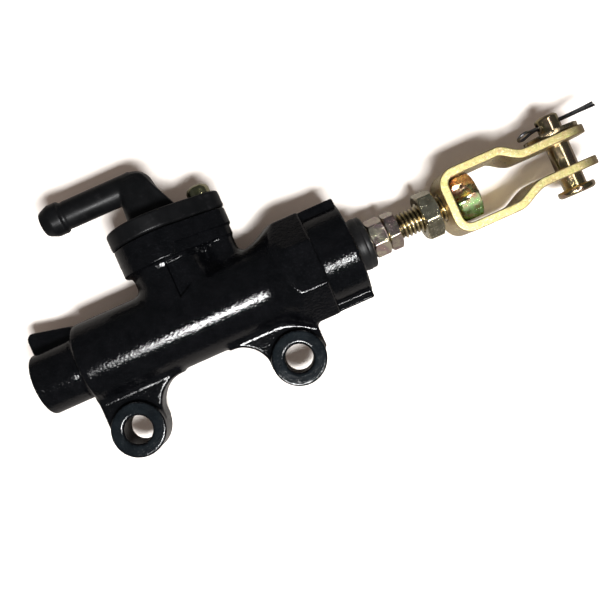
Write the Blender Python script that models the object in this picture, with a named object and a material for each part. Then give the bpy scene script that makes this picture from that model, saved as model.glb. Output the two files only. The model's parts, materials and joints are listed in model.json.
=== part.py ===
"""Rear brake master cylinder of a motorcycle, as an assembly of its separate pieces.

Each piece is worked in millimetres and turned into metres when it is finished.
The pieces are laid out round the bore: X runs along it from the outlet port to the
clevis, Z points at the fluid inlet, Y runs along the two mounting bolts, and the
layout's zero is on the bore axis midway between those bolts.  A parent empty then
sets the whole layout on its lugs: the part's origin is on the plane both lugs
stand on, in the middle of the part's length and width.

Constants ending in _X, _Y or _Z are places on that axis; a pair is (low, high).
"""

from collections import namedtuple
from math import asin, atan, cos, degrees, pi, radians, sin, sqrt, tau

import bmesh
import bpy
from mathutils import Matrix, Vector

MM = 0.001
GAP = 0.2  # left between pieces that rest on each other
OVERRUN = 1.0  # how far a cutting shape runs on past the surface it opens

CASTING_SIDES = 40
TURNED_SIDES = 24

# ---- casting -------------------------------------------------------------
BARREL_R = 12.5
BARREL_START_X = -32.8
BARREL_END_X = 31.3  # hidden inside the collar
BORE_R = 6.35  # half-inch bore
BORE_START_X = -28.0
OUTLET_X = -47.0  # machined outlet face
OUTLET_R = 9.25
PORT_R = 4.55  # M10 x 1.25, taken at its minor diameter
PORT_DEPTH = 11.0
PASSAGE_R = 1.6
STOP_TAB_X = -47.6  # end of the cast stop that keeps the hose end from turning
STOP_TAB_Y = (3.2, 8.8)
COLLAR_END_X = 41.1
COLLAR_APOTHEM = 15.7
MOUTH_END_X = 52.3
MOUTH_R = 13.9
RIB_HALF_WIDTH = 5.2
RIB_HALF_HEIGHT = 15.5
RING_SEAT_X = (37.4, 44.0)  # counterbore for the stop washer and snap ring
RING_SEAT_R = 8.5
RING_GROOVE_X = (39.5, 40.9)
RING_GROOVE_R = 9.1
BOOT_SEAT_R = 9.5

# ---- mounting lugs -------------------------------------------------------
LUG_PITCH = 50.0
LUG_DROP = 22.7  # hole centres below the bore axis
LUG_R = 8.0
LUG_HOLE_R = 4.1
LUG_Y = (-8.0, 3.0)
WEB_Y = (-5.6, 2.4)
WEB_SWEEP_R = 9.4
WEB_SWEEP_Z = -22.2  # centre of the hollow curve on the web's inner edge
WEB_TOP_Z = -9.0  # hidden inside the barrel

# ---- inlet ---------------------------------------------------------------
INLET_X = 0.9
SCREW_X = 17.3
BOSS_TOP_Z = 26.5
BOSS_R = 13.2
BOSS_EAR_R = 5.1
COLUMN_R = 11.0
COLUMN_Z = (5.0, 20.2)
WELL_R = 6.0
WELL_FLOOR_Z = 9.4
PLATE_Z = (BOSS_TOP_Z + GAP, 31.9)
PLATE_R = 13.5
PLATE_EAR_R = 5.3
STEM_X = 1.0
STEM_R = 5.5  # where the dome starts
DOME_Z = (41.6, 47.0)
NECK_R = 5.7
NECK_GROOVE_R = 4.2
NECK_GROOVE_Z = (22.9, 24.9)
O_RING_R = 5.1
O_RING_WIRE_R = 0.7
SPIGOT_Z = 43.0
SPIGOT_R = 4.25
SPIGOT_TIP_X = -28.1
SCREW_HEAD_Z = PLATE_Z[1] + GAP

# ---- working parts in the bore -------------------------------------------
PISTON_R = BORE_R - 0.1  # the cups share it
BALL_X = 35.6
BALL_R = 4.6
SOCKET_R = BALL_R + 0.3
SPRING_X = (-27.2, -4.0)
SPRING_R = 4.7  # to the middle of the wire
SPRING_WIRE_R = 0.6
SPRING_TURNS = 7

# ---- rod and nuts --------------------------------------------------------
ROD_HEX_X = (57.7, 62.6)
ROD_HEX_FLATS = 10.3  # across flats, shared with the rod's lock nut
ROD_HEX_TURN = radians(-6)
ROD_NUT_X = (62.9, 66.5)
ROD_NUT_TURN = radians(-11)
ROD_NUT_HOLE_R = 2.7
STUD_X = (53.3, 91.0)
STUD_STEP_X = 66.8
STUD_END_R = 2.5
THREAD_R = 3.92
THREAD_PITCH = 1.25
THREAD_DEPTH = 0.62
NUT_HOLE_R = THREAD_R + 0.15
NUT_FLATS = 13.0
LOCK_NUT_X = (73.7, 79.0)
LOCK_NUT_TURN = radians(45.5)
NUT_SIDES = 30  # of the cones that turn off a nut's corners
NUT_HOLE_SIDES = 18

# ---- clevis --------------------------------------------------------------
CLEVIS_X = 80.9
CLEVIS_THICK = 2.6
CLEVIS_WIDTH = 17.0
CLEVIS_BEND = 5.0  # outer radius of the U's corners
# the arms at +Z and -Z are bent slightly differently
ARM_HALF = {1: 9.4, -1: 10.0}  # bore axis to outer face, next to the U's base
TIP_HALF = {1: 5.9, -1: 6.5}  # the same, at the pin
JOG_X = {1: (99.8, 107.2), -1: (99.4, 109.2)}
INNER_NUT_X = (CLEVIS_X + CLEVIS_THICK + GAP, 91.2)
INNER_NUT_TURN = radians(30)
PIN_X = 119.4
PIN_R = 3.45
PIN_Z = (-12.2, 12.4)
PIN_SHOULDER_Z = -10.1
PIN_HEAD_R = 5.5
WASHER_X = PIN_X - 0.6  # the loose washer sits a little to one side
WASHER_R = 8.0
WASHER_HOLE_R = 4.2
WASHER_THICK = 1.3
WASHER_LOW_Z = TIP_HALF[1] + GAP
COTTER_X = (109.1, 135.0)
COTTER_Z = 9.9
COTTER_HOLE_R = 1.15
COTTER_WIRE_R = 0.42
COTTER_EYE_R = 1.9
COTTER_LEG_HALF = 0.47  # half the distance between the two legs
COTTER_NECK_X = 115.2  # where the legs open into the eye
COTTER_SAG = 0.7  # droop of the eye towards the washer
COTTER_ROLL = radians(-22)  # of the eye's plane, about its own length

AXIS_HEIGHT = LUG_DROP + LUG_R
MID_X = (STOP_TAB_X + COTTER_X[1]) / 2

# ---- finishes ------------------------------------------------------------
Finish = namedtuple("Finish", "colour roughness metallic")

BLACK_PAINT = Finish(colour=(0.012, 0.012, 0.014), roughness=0.22, metallic=0.0)
BLACK_PLASTIC = Finish(colour=(0.03, 0.03, 0.033), roughness=0.45, metallic=0.0)
RUBBER = Finish(colour=(0.015, 0.015, 0.016), roughness=0.6, metallic=0.0)
YELLOW_ZINC = Finish(colour=(0.72, 0.56, 0.24), roughness=0.3, metallic=0.9)
OLIVE_ZINC = Finish(colour=(0.5, 0.47, 0.2), roughness=0.35, metallic=0.85)
STEEL = Finish(colour=(0.45, 0.45, 0.46), roughness=0.32, metallic=1.0)
DARK_STEEL = Finish(colour=(0.12, 0.12, 0.13), roughness=0.4, metallic=0.9)
ANODISED = Finish(colour=(0.62, 0.63, 0.65), roughness=0.3, metallic=0.9)


# ---- shape tools: each returns a bmesh -----------------------------------
def closed(bm):
    bmesh.ops.recalc_face_normals(bm, faces=bm.faces)
    return bm


def turned(outline, sides, axis="X", centre=(0.0, 0.0, 0.0), start=0.0):
    """A solid of revolution: outline is a closed list of (along, radius) points."""
    bm = bmesh.new()
    points = [bm.verts.new((along, r * cos(start), r * sin(start))) for along, r in outline]
    edges = []
    for i, point in enumerate(points):
        j = (i + 1) % len(points)
        # an edge lying on the axis would sweep out nothing
        if outline[i][1] > 0 or outline[j][1] > 0:
            edges.append(bm.edges.new((point, points[j])))
    bmesh.ops.spin(
        bm,
        geom=points + edges,
        cent=(0, 0, 0),
        axis=(1, 0, 0),
        angle=tau,
        steps=sides,
        use_merge=True,
    )
    bmesh.ops.remove_doubles(bm, verts=bm.verts, dist=1e-4)
    if axis == "Z":
        bmesh.ops.rotate(bm, verts=bm.verts, matrix=Matrix.Rotation(-pi / 2, 3, "Y"))
    elif axis == "Y":
        bmesh.ops.rotate(bm, verts=bm.verts, matrix=Matrix.Rotation(pi / 2, 3, "Z"))
    bmesh.ops.translate(bm, vec=Vector(centre), verts=bm.verts)
    return closed(bm)


def cylinder(radius, low, high, sides, axis="X", centre=(0.0, 0.0, 0.0), chamfer=0.0):
    if chamfer:
        outline = [
            (low, 0),
            (low, radius - chamfer),
            (low + chamfer, radius),
            (high - chamfer, radius),
            (high, radius - chamfer),
            (high, 0),
        ]
    else:
        outline = [(low, 0), (low, radius), (high, radius), (high, 0)]
    return turned(outline, sides, axis, centre)


def countersunk_hole(radius, low, high, sink, sides, axis="X", centre=(0.0, 0.0, 0.0)):
    """The cutting shape for a through hole with a 45 degree countersink at both ends."""
    wide = radius + sink + OVERRUN
    outline = [
        (low - OVERRUN, 0),
        (low - OVERRUN, wide),
        (low + sink, radius),
        (high - sink, radius),
        (high + OVERRUN, wide),
        (high + OVERRUN, 0),
    ]
    return turned(outline, sides, axis, centre)


def lofted(sections, at):
    """Skins and caps (w, loop) sections of equal point count; at(u, v, w) places a point."""
    bm = bmesh.new()
    loops = [[bm.verts.new(at(u, v, w)) for u, v in loop] for w, loop in sections]
    count = len(loops[0])
    for low, high in zip(loops, loops[1:]):
        for i in range(count):
            j = (i + 1) % count
            bm.faces.new((low[i], low[j], high[j], high[i]))
    bm.faces.new(loops[0][::-1])
    bm.faces.new(loops[-1])
    return closed(bm)


def along_x(u, v, w):
    return (w, u, v)


def along_y(u, v, w):
    return (u, w, v)


def along_z(u, v, w):
    return (u, v, w)


def prism(loop, low, high, at):
    return lofted([(low, loop), (high, loop)], at)


def box(x, y, z):
    return prism([(x[0], y[0]), (x[1], y[0]), (x[1], y[1]), (x[0], y[1])], *z, along_z)


def wire(name, path, radius):
    """A round wire along a list of (x, y, z) points."""
    curve = bpy.data.curves.new(name, "CURVE")
    curve.dimensions = "3D"
    curve.bevel_depth = radius
    curve.bevel_resolution = 1
    curve.use_fill_caps = True
    line = curve.splines.new("POLY")
    line.points.add(len(path) - 1)
    for point, place in zip(line.points, path):
        point.co = (*place, 1)
    holder = bpy.data.objects.new(name + "_wire", curve)
    bpy.context.scene.collection.objects.link(holder)
    graph = bpy.context.evaluated_depsgraph_get()
    mesh = bpy.data.meshes.new_from_object(holder.evaluated_get(graph))
    bpy.data.objects.remove(holder, do_unlink=True)
    bm = bmesh.new()
    bm.from_mesh(mesh)
    bmesh.ops.remove_doubles(bm, verts=bm.verts, dist=1e-4)
    bpy.data.meshes.remove(mesh)
    return closed(bm)


# ---- flat outlines: each returns a list of points ------------------------
def arc(centre_u, centre_v, radius, start, end, steps):
    """Points on an arc, ends included, angles in degrees."""
    angles = [radians(start + (end - start) * i / steps) for i in range(steps + 1)]
    return [(centre_u + radius * cos(a), centre_v + radius * sin(a)) for a in angles]


def polygon(count, apothem, turn=0.0):
    radius = apothem / cos(pi / count)
    angles = [turn + pi / count + tau * i / count for i in range(count)]
    return [(radius * cos(a), radius * sin(a)) for a in angles]


def ear_shape(main_r, ear_r, inset=0.0):
    """The outline wrapped round the inlet's circle and the screw's, drawn in by inset."""
    main_r, ear_r = main_r - inset, ear_r - inset
    edge = 90 - degrees(asin((main_r - ear_r) / (SCREW_X - INLET_X)))
    big = arc(INLET_X, 0, main_r, edge, 360 - edge, 14)
    small = arc(SCREW_X, 0, ear_r, -edge, edge, 7)
    return big + small


# ---- pieces and the work done on them ------------------------------------
def piece(name, bm):
    mesh = bpy.data.meshes.new(name)
    bm.to_mesh(mesh)
    bm.free()
    obj = bpy.data.objects.new(name, mesh)
    bpy.context.scene.collection.objects.link(obj)
    return obj


def shape_of(obj):
    """Takes a piece apart again: its shape as a bmesh, the object removed."""
    bm = bmesh.new()
    bm.from_mesh(obj.data)
    bpy.data.objects.remove(obj, do_unlink=True)
    return bm


def worked(obj, bm, operation):
    """Applies one exact Boolean to the piece and tidies the mesh it leaves."""
    tool = piece(obj.name + "_tool", bm)
    tool.hide_render = True
    step = obj.modifiers.new("step", "BOOLEAN")
    step.solver = "EXACT"
    step.operation = operation
    step.object = tool
    graph = bpy.context.evaluated_depsgraph_get()
    made = bpy.data.meshes.new_from_object(obj.evaluated_get(graph))
    obj.modifiers.remove(step)
    old_mesh, tool_mesh = obj.data, tool.data
    obj.data = made
    bpy.data.meshes.remove(old_mesh)
    bpy.data.objects.remove(tool, do_unlink=True)
    bpy.data.meshes.remove(tool_mesh)
    made.name = obj.name
    bm = bmesh.new()
    bm.from_mesh(made)
    bmesh.ops.remove_doubles(bm, verts=bm.verts, dist=2e-4)
    bmesh.ops.dissolve_degenerate(bm, dist=2e-4, edges=bm.edges)
    bmesh.ops.triangulate(bm, faces=bm.faces)
    bm.to_mesh(made)
    bm.free()


def join(obj, *shapes):
    for bm in shapes:
        worked(obj, bm, "UNION")


def cut(obj, *shapes):
    for bm in shapes:
        worked(obj, bm, "DIFFERENCE")


def trim(obj, bm):
    """Keeps only what lies inside the shape."""
    worked(obj, bm, "INTERSECT")


def material(name, finish):
    mat = bpy.data.materials.new(name)
    mat.use_nodes = True
    shader = mat.node_tree.nodes["Principled BSDF"]
    shader.inputs["Base Color"].default_value = (*finish.colour, 1.0)
    shader.inputs["Roughness"].default_value = finish.roughness
    shader.inputs["Metallic"].default_value = finish.metallic
    mat.diffuse_color = (*finish.colour, 1.0)
    return mat


def finished(obj, finish, origin=(0.0, 0.0, 0.0), smooth=35):
    """Gives the piece its size in metres, origin, material and shading (sharp past smooth)."""
    obj.data.transform(Matrix.Scale(MM, 4) @ Matrix.Translation(-Vector(origin)))
    obj.location = Vector(origin) * MM
    obj.data.materials.clear()
    obj.data.materials.append(material(obj.name, finish))
    obj.data.shade_smooth()
    obj.data.set_sharp_from_angle(angle=radians(smooth))
    return obj


# ---- the casting ---------------------------------------------------------
def barrel():
    """The barrel with the narrower outlet end before it."""
    chamfer = 1.4
    outline = [  # (x, radius)
        (OUTLET_X, 0),
        (OUTLET_X, OUTLET_R - 0.9),
        (OUTLET_X + 0.9, OUTLET_R),
        (-34.6, OUTLET_R),
        (-34.0, OUTLET_R - 0.5),
        (-33.4, OUTLET_R + 0.2),
        (BARREL_START_X, BARREL_R - chamfer),
        (BARREL_START_X + 0.5 * chamfer, BARREL_R - 0.3 * chamfer),
        (BARREL_START_X + chamfer, BARREL_R),
        (BARREL_END_X, BARREL_R),
        (BARREL_END_X, 0),
    ]
    return turned(outline, CASTING_SIDES)


def collar():
    """An eight-sided bar whose end towards the barrel is turned to a cone."""
    obj = piece("collar", prism(polygon(8, COLLAR_APOTHEM), 24.0, COLLAR_END_X, along_x))
    cone = [  # (x, radius)
        (23.0, 0),
        (23.0, BARREL_R - 1.2),
        (33.4, 17.1),
        (COLLAR_END_X - 0.5, 17.1),
        (COLLAR_END_X + 1, 15.9),
        (COLLAR_END_X + 1, 0),
    ]
    trim(obj, turned(cone, CASTING_SIDES, start=pi / CASTING_SIDES))
    return shape_of(obj)


def mouth_shapes():
    """The round mouth and the bar that stands out of it as two ribs."""
    start, chamfer = COLLAR_END_X - 2, 0.7
    outline = [  # (x, radius)
        (start, 0),
        (start, MOUTH_R),
        (MOUTH_END_X - chamfer, MOUTH_R),
        (MOUTH_END_X, MOUTH_R - chamfer),
        (MOUTH_END_X, 0),
    ]
    ribs = box(
        (start, MOUTH_END_X - 0.3),
        (-RIB_HALF_WIDTH, RIB_HALF_WIDTH),
        (-RIB_HALF_HEIGHT, RIB_HALF_HEIGHT),
    )
    return turned(outline, CASTING_SIDES), ribs


def hose_stop():
    """The stop for the hose end, on the +Y side of the outlet and rising above it."""
    loop = [  # (x, z)
        (-31.0, 10.0),
        (-33.2, 12.0),
        (-34.4, 13.2),
        (STOP_TAB_X + 1.4, 15.9),
        (STOP_TAB_X, 14.6),
        (STOP_TAB_X, -3.0),
        (-31.0, -3.0),
    ]
    return prism(loop, *STOP_TAB_Y, along_y)


def inlet_boss_shapes():
    """Main column, the screw's column beside it, and the flange over both."""
    low, high = COLUMN_Z
    column = [  # (z, radius)
        (low, 0),
        (low, COLUMN_R),
        (16.6, COLUMN_R + 0.2),
        (high, BOSS_R - 0.8),
        (high, 0),
    ]
    flange = [
        (18.2, ear_shape(BOSS_R, BOSS_EAR_R, 0.5)),
        (18.7, ear_shape(BOSS_R, BOSS_EAR_R)),
        (BOSS_TOP_Z - 0.4, ear_shape(BOSS_R, BOSS_EAR_R)),
        (BOSS_TOP_Z, ear_shape(BOSS_R, BOSS_EAR_R, 0.4)),
    ]
    return (
        turned(column, 32, "Z", (INLET_X, 0, 0)),
        cylinder(4.4, low, high, 20, "Z", (SCREW_X - 0.4, 0, 0)),
        lofted(flange, along_z),
    )


def lug_centre(side):
    return (side * LUG_PITCH / 2, 0, -LUG_DROP)


def lug_web(side):
    """The web from one lug up to the barrel, hollowed on the side facing the other lug."""
    hole_x = side * LUG_PITCH / 2
    inner_x = hole_x - side * LUG_R
    outer_x = hole_x + side * (LUG_R if side < 0 else LUG_R + 0.6)
    outer_top_z = WEB_TOP_Z if side < 0 else -12.5
    sweep = [
        (
            inner_x - side * WEB_SWEEP_R * (1 - cos(radians(angle))),
            WEB_SWEEP_Z + WEB_SWEEP_R * sin(radians(angle)),
        )
        for angle in (0, 18, 36, 54, 72, 90)
    ]
    loop = [(hole_x, -LUG_DROP), (inner_x, -LUG_DROP)] + sweep
    loop += [(sweep[-1][0], WEB_TOP_Z), (hole_x, WEB_TOP_Z)]
    loop += [(outer_x, outer_top_z), (outer_x, -LUG_DROP)]
    # the step of 1 or -1 gives both webs the same winding
    return prism(loop[::side], *WEB_Y, along_y)


def bore_cut():
    """Bore, counterbore, snap ring groove, boot seat and flared mouth."""
    seat_low, seat_high = RING_SEAT_X
    groove_low, groove_high = RING_GROOVE_X
    outline = [  # (x, radius)
        (BORE_START_X, 0),
        (BORE_START_X, BORE_R),
        (seat_low, BORE_R),
        (seat_low, RING_SEAT_R),
        (groove_low, RING_SEAT_R),
        (groove_low, RING_GROOVE_R),
        (groove_high, RING_GROOVE_R),
        (groove_high, RING_SEAT_R),
        (seat_high, RING_SEAT_R),
        (seat_high, BOOT_SEAT_R),
        (MOUTH_END_X - 0.8, BOOT_SEAT_R),
        (MOUTH_END_X + OVERRUN, BOOT_SEAT_R + 1.6),
        (MOUTH_END_X + OVERRUN, 0),
    ]
    return turned(outline, CASTING_SIDES)


def outlet_cut():
    """Outlet port with its countersink, drill point and passage to the bore."""
    sink = 0.6
    port_end = OUTLET_X + PORT_DEPTH
    outline = [  # (x, radius)
        (OUTLET_X - OVERRUN, 0),
        (OUTLET_X - OVERRUN, PORT_R + sink + OVERRUN),
        (OUTLET_X + sink, PORT_R),
        (port_end, PORT_R),
        (port_end + 2.2, PASSAGE_R),
        (BORE_START_X + OVERRUN, PASSAGE_R),
        (BORE_START_X + OVERRUN, 0),
    ]
    return turned(outline, 24)


def inlet_cuts():
    """Inlet well, supply port, compensating port and the screw's tapped hole."""
    top = BOSS_TOP_Z + OVERRUN
    port_z = (4.0, WELL_FLOOR_Z + OVERRUN)
    tap_r = 2.05
    tapped = [(17.4, 0), (18.8, tap_r), (top, tap_r), (top, 0)]
    return (
        cylinder(WELL_R, WELL_FLOOR_Z, top, 32, "Z", (INLET_X, 0, 0)),
        cylinder(1.2, *port_z, 12, "Z", (4.5, 0, 0)),
        cylinder(0.5, *port_z, 8, "Z", (-3.4, 0, 0)),
        turned(tapped, 16, "Z", (SCREW_X, 0, 0)),
    )


def cylinder_body():
    obj = piece("cylinder_body", barrel())
    join(obj, collar(), *mouth_shapes(), hose_stop(), *inlet_boss_shapes())
    for side in (-1, 1):
        join(obj, lug_web(side))
    for side in (-1, 1):
        join(obj, cylinder(LUG_R, *LUG_Y, 32, "Y", lug_centre(side), chamfer=0.5))
    cut(obj, bore_cut(), outlet_cut(), *inlet_cuts())
    for side in (-1, 1):
        cut(obj, countersunk_hole(LUG_HOLE_R, *LUG_Y, 0.45, 32, "Y", lug_centre(side)))
    return finished(obj, BLACK_PAINT)


# ---- inlet fittings ------------------------------------------------------
def elbow_plate():
    low, high = PLATE_Z
    low_edge, high_edge = 0.2, 0.5
    sections = [
        (low, ear_shape(PLATE_R, PLATE_EAR_R, low_edge)),
        (low + low_edge, ear_shape(PLATE_R, PLATE_EAR_R)),
        (high - high_edge, ear_shape(PLATE_R, PLATE_EAR_R)),
        (high, ear_shape(PLATE_R, PLATE_EAR_R, high_edge)),
    ]
    return lofted(sections, along_z)


def elbow_stem():
    """Tapers a little on its way up and ends in a dome."""
    base, top = DOME_Z
    outline = [(30.0, 0), (30.0, 6.7), (33.0, 6.1), (base, STEM_R)]  # (z, radius)
    for angle in (22, 44, 62, 76):
        rise = (top - base) * sin(radians(angle))
        outline.append((base + rise, STEM_R * cos(radians(angle))))
    outline.append((top, 0))
    return turned(outline, 28, "Z", (STEM_X, 0, 0))


def elbow_wedge():
    """Braces the stem on the side away from the spigot."""
    loop = [(STEM_X, 45.6), (4.4, 45.0), (9.9, 33.0), (10.6, 31.0), (STEM_X, 31.0)]  # (x, z)
    return prism(loop, -3.6, 3.6, along_y)


def elbow_neck():
    """Reaches down into the well, grooved for the O-ring."""
    end, chamfer = 21.4, 0.4
    top = PLATE_Z[0] + 1.0
    groove_low, groove_high = NECK_GROOVE_Z
    outline = [  # (z, radius)
        (end, 0),
        (end, NECK_R - chamfer),
        (end + chamfer, NECK_R),
        (groove_low, NECK_R),
        (groove_low, NECK_GROOVE_R),
        (groove_high, NECK_GROOVE_R),
        (groove_high, NECK_R),
        (top, NECK_R),
        (top, 0),
    ]
    return turned(outline, 28, "Z", (INLET_X, 0, 0))


def elbow_spigot():
    """The hose spigot with its barb."""
    outline = [  # (x, radius)
        (SPIGOT_TIP_X, 0),
        (SPIGOT_TIP_X, 3.3),
        (-25.7, SPIGOT_R + 0.45),
        (-24.9, SPIGOT_R + 0.62),
        (-21.9, SPIGOT_R + 0.62),
        (-21.4, SPIGOT_R),
        (STEM_X, SPIGOT_R),
        (STEM_X, 0),
    ]
    return turned(outline, 24, "X", (0, 0, SPIGOT_Z))


def inlet_elbow():
    obj = piece("inlet_elbow", elbow_plate())
    join(obj, elbow_stem(), elbow_wedge(), elbow_neck(), elbow_spigot())
    cut(
        obj,
        # passage along the spigot, passage down the stem, screw hole
        cylinder(2.3, SPIGOT_TIP_X - OVERRUN, STEM_X + 1.5, 16, "X", (0, 0, SPIGOT_Z)),
        cylinder(2.6, 20.0, SPIGOT_Z + 1.8, 16, "Z", (STEM_X, 0, 0)),
        cylinder(2.25, 20.0, 40.0, 16, "Z", (SCREW_X, 0, 0)),
    )
    return finished(obj, BLACK_PLASTIC)


def inlet_o_ring():
    outline = arc(0, O_RING_R, O_RING_WIRE_R, 0, 315, 7)
    centre = (INLET_X, 0, sum(NECK_GROOVE_Z) / 2)
    return finished(piece("inlet_o_ring", turned(outline, 24, "Z", centre)), RUBBER, smooth=60)


def inlet_screw():
    """A domed screw with a cross cut in its head."""
    low = SCREW_HEAD_Z
    outline = [  # (z, radius)
        (19.6, 0),
        (19.6, 1.3),
        (20.2, 1.9),
        (low, 1.9),
        (low, 3.5),
        (low + 1.9, 3.5),
        (low + 2.9, 2.9),
        (low + 3.4, 1.9),
        (low + 3.6, 0),
    ]
    obj = piece("inlet_screw", turned(outline, 24, "Z", (SCREW_X, 0, 0)))
    for turn in (45, 135):
        slot = box((-1.9, 1.9), (-0.42, 0.42), (low + 2.1, low + 5))
        bmesh.ops.rotate(slot, verts=slot.verts, matrix=Matrix.Rotation(radians(turn), 3, "Z"))
        bmesh.ops.translate(slot, verts=slot.verts, vec=Vector((SCREW_X, 0, 0)))
        cut(obj, slot)
    return finished(obj, OLIVE_ZINC, (SCREW_X, 0, low))


# ---- working parts in the bore; outlines are (x, radius) -----------------
def turned_piece(name, outline, finish, smooth=35):
    return finished(piece(name, turned(outline, TURNED_SIDES)), finish, smooth=smooth)


def piston():
    """Two lands with seats for the cups, and a round socket for the rod's ball."""
    socket = [
        (BALL_X - sqrt(SOCKET_R**2 - (SOCKET_R * share) ** 2), SOCKET_R * share)
        for share in (0.0, 0.35, 0.62, 0.83, 0.95)
    ]
    outline = [
        (-4.4, 0), (-4.4, 2.0), (-4.0, 2.4), (1.2, 2.4),
        (1.2, PISTON_R), (2.6, PISTON_R), (3.2, 4.2), (20.2, 4.2),
        (20.8, PISTON_R), (22.0, PISTON_R), (22.0, 4.0), (25.9, 4.0),
        (25.9, PISTON_R), (36.8, PISTON_R), (37.2, PISTON_R - 0.4),
        (37.2, SOCKET_R), (BALL_X, SOCKET_R),
    ]
    return turned_piece("piston", outline + socket[::-1], ANODISED)


def primary_cup():
    outline = [
        (0.9, 2.6), (0.9, PISTON_R - 0.1), (0.0, PISTON_R - 0.25),
        (-2.1, PISTON_R), (-2.3, PISTON_R - 0.3), (-0.6, PISTON_R - 1.6),
        (-0.6, 3.6), (-2.0, 3.0), (-2.0, 2.6),
    ]
    return turned_piece("primary_cup", outline, RUBBER)


def secondary_cup():
    outline = [
        (25.7, 4.2), (25.7, PISTON_R - 0.2), (24.8, PISTON_R - 0.3),
        (22.5, PISTON_R), (22.3, PISTON_R - 0.3), (23.9, 5.3),
        (23.9, 4.7), (22.3, 4.5), (22.3, 4.2),
    ]
    return turned_piece("secondary_cup", outline, RUBBER)


def spring_seat():
    outline = [(-5.0, 2.7), (-5.0, 3.3), (-3.2, 3.4), (-3.2, 5.7), (-2.5, 5.7), (-2.5, 2.7)]
    return turned_piece("spring_seat", outline, STEEL)


def return_spring():
    """A round-wire coil, with one closed turn at each end."""
    low, high = SPRING_X
    steps = 14  # per turn
    closed_pitch = 2 * SPRING_WIRE_R + 0.12
    open_turns = SPRING_TURNS - 2
    open_pitch = (high - low - 2 * closed_pitch) / open_turns
    path = []
    for i in range(SPRING_TURNS * steps + 1):
        turns = i / steps
        x = low + closed_pitch * min(turns, 1)
        x += open_pitch * min(max(turns - 1, 0), open_turns)
        x += closed_pitch * max(turns - 1 - open_turns, 0)
        path.append((x, SPRING_R * cos(tau * turns), SPRING_R * sin(tau * turns)))
    coil = wire("return_spring", path, SPRING_WIRE_R)
    return finished(piece("return_spring", coil), STEEL, (low, 0, 0), 60)


def stop_washer():
    outline = [(37.8, 8.2), (39.2, 8.2), (39.2, 3.95), (37.8, 3.95)]
    return turned_piece("stop_washer", outline, STEEL)


def snap_ring():
    """An internal spring ring: a C of flat stock whose ends carry the plier eyes."""
    low, high = RING_GROOVE_X[0] + GAP, RING_GROOVE_X[1] - GAP
    outer, inner, eye_centre_r = RING_GROOVE_R - GAP, 7.0, 6.55
    start, end = -246, 66
    loop = arc(0, 0, outer, start, end, 26) + arc(0, 0, inner, end, start, 26)
    obj = piece("snap_ring", prism(loop, low, high, along_x))
    for angle in (start, end):
        centre = (0, eye_centre_r * cos(radians(angle)), eye_centre_r * sin(radians(angle)))
        join(obj, cylinder(1.35, low, high, 14, "X", centre))
        cut(obj, cylinder(0.6, low - OVERRUN, high + OVERRUN, 8, "X", centre))
    return finished(obj, DARK_STEEL)


def dust_boot():
    outline = [
        (52.0, 7.3), (53.8, 6.5), (55.4, 6.3), (56.2, 4.4), (57.4, 4.4),
        (57.4, 7.0), (56.6, 7.9), (54.6, 8.0), (53.2, 7.7), (52.5, 8.5),
        (51.4, 9.2), (44.3, 9.2), (44.3, 7.9),
    ]
    return turned_piece("dust_boot", outline, RUBBER, smooth=50)


# ---- rod, nuts and clevis ------------------------------------------------
def nut_blank(name, low, high, flats, turn, both_ends=True):
    """A six-sided bar whose corners are turned off at both ends, or at the high end only."""
    flat_r = flats / 2
    corner_r = flat_r / cos(pi / 6)
    excess = corner_r - flat_r
    drop = excess * 0.62
    obj = piece(name, prism(polygon(6, flat_r, turn), low, high, along_x))
    # the cone stands just clear of the bar's ends and corners
    end_clear, corner_clear = 0.01, 0.05
    cone = [
        (low - end_clear, 0),
        (low - end_clear, flat_r if both_ends else corner_r + 0.2 * excess),
        (low + (drop if both_ends else 0.0), corner_r + corner_clear),
        (high - drop, corner_r + corner_clear),
        (high + end_clear, flat_r),
        (high + end_clear, 0),
    ]
    trim(obj, turned(cone, NUT_SIDES))
    return obj


def lock_nut(name, low, high, flats, hole_r, turn):
    obj = nut_blank(name, low, high, flats, turn)
    cut(obj, countersunk_hole(hole_r, low, high, 0.5, NUT_HOLE_SIDES))
    return finished(obj, YELLOW_ZINC)


def push_rod():
    """Ball, shank and hexagon, bored for the stud's reduced end."""
    ball = [
        (BALL_X - BALL_R * cos(radians(angle)), BALL_R * sin(radians(angle)))
        for angle in (0, 15, 30, 45, 60, 75, 90)
    ]
    shank_r, collar_r = 3.0, 3.9
    collar_end = ROD_HEX_X[0] + 0.6  # runs into the hexagon
    shank = [(37.1, 4.3), (37.1, shank_r), (49.8, shank_r)]
    shank += [(51.0, collar_r), (collar_end, collar_r), (collar_end, 0)]
    obj = piece("push_rod", turned(ball + shank, TURNED_SIDES))
    join(obj, shape_of(nut_blank("hexagon", *ROD_HEX_X, ROD_HEX_FLATS, ROD_HEX_TURN)))
    cut(obj, cylinder(2.65, 52.6, ROD_HEX_X[1] + OVERRUN, 20))
    return finished(obj, YELLOW_ZINC, (BALL_X, 0, 0))


def rod_lock_nut():
    return lock_nut("rod_lock_nut", *ROD_NUT_X, ROD_HEX_FLATS, ROD_NUT_HOLE_R, ROD_NUT_TURN)


def threaded_stud():
    """Plain reduced end for the rod, then the larger end with its thread as ridges."""
    low, high = STUD_X
    root_r = THREAD_R - THREAD_DEPTH
    outline = [(low, 0), (low, STUD_END_R - 0.4), (low + 0.4, STUD_END_R)]
    outline += [(STUD_STEP_X, STUD_END_R), (STUD_STEP_X, root_r)]
    x = STUD_STEP_X
    while x + THREAD_PITCH < high - 0.3:
        outline += [(x + 0.5 * THREAD_PITCH, THREAD_R), (x + THREAD_PITCH, root_r)]
        x += THREAD_PITCH
    outline += [(high, root_r - 0.4), (high, 0)]
    return finished(piece("threaded_stud", turned(outline, 16)), YELLOW_ZINC)


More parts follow.
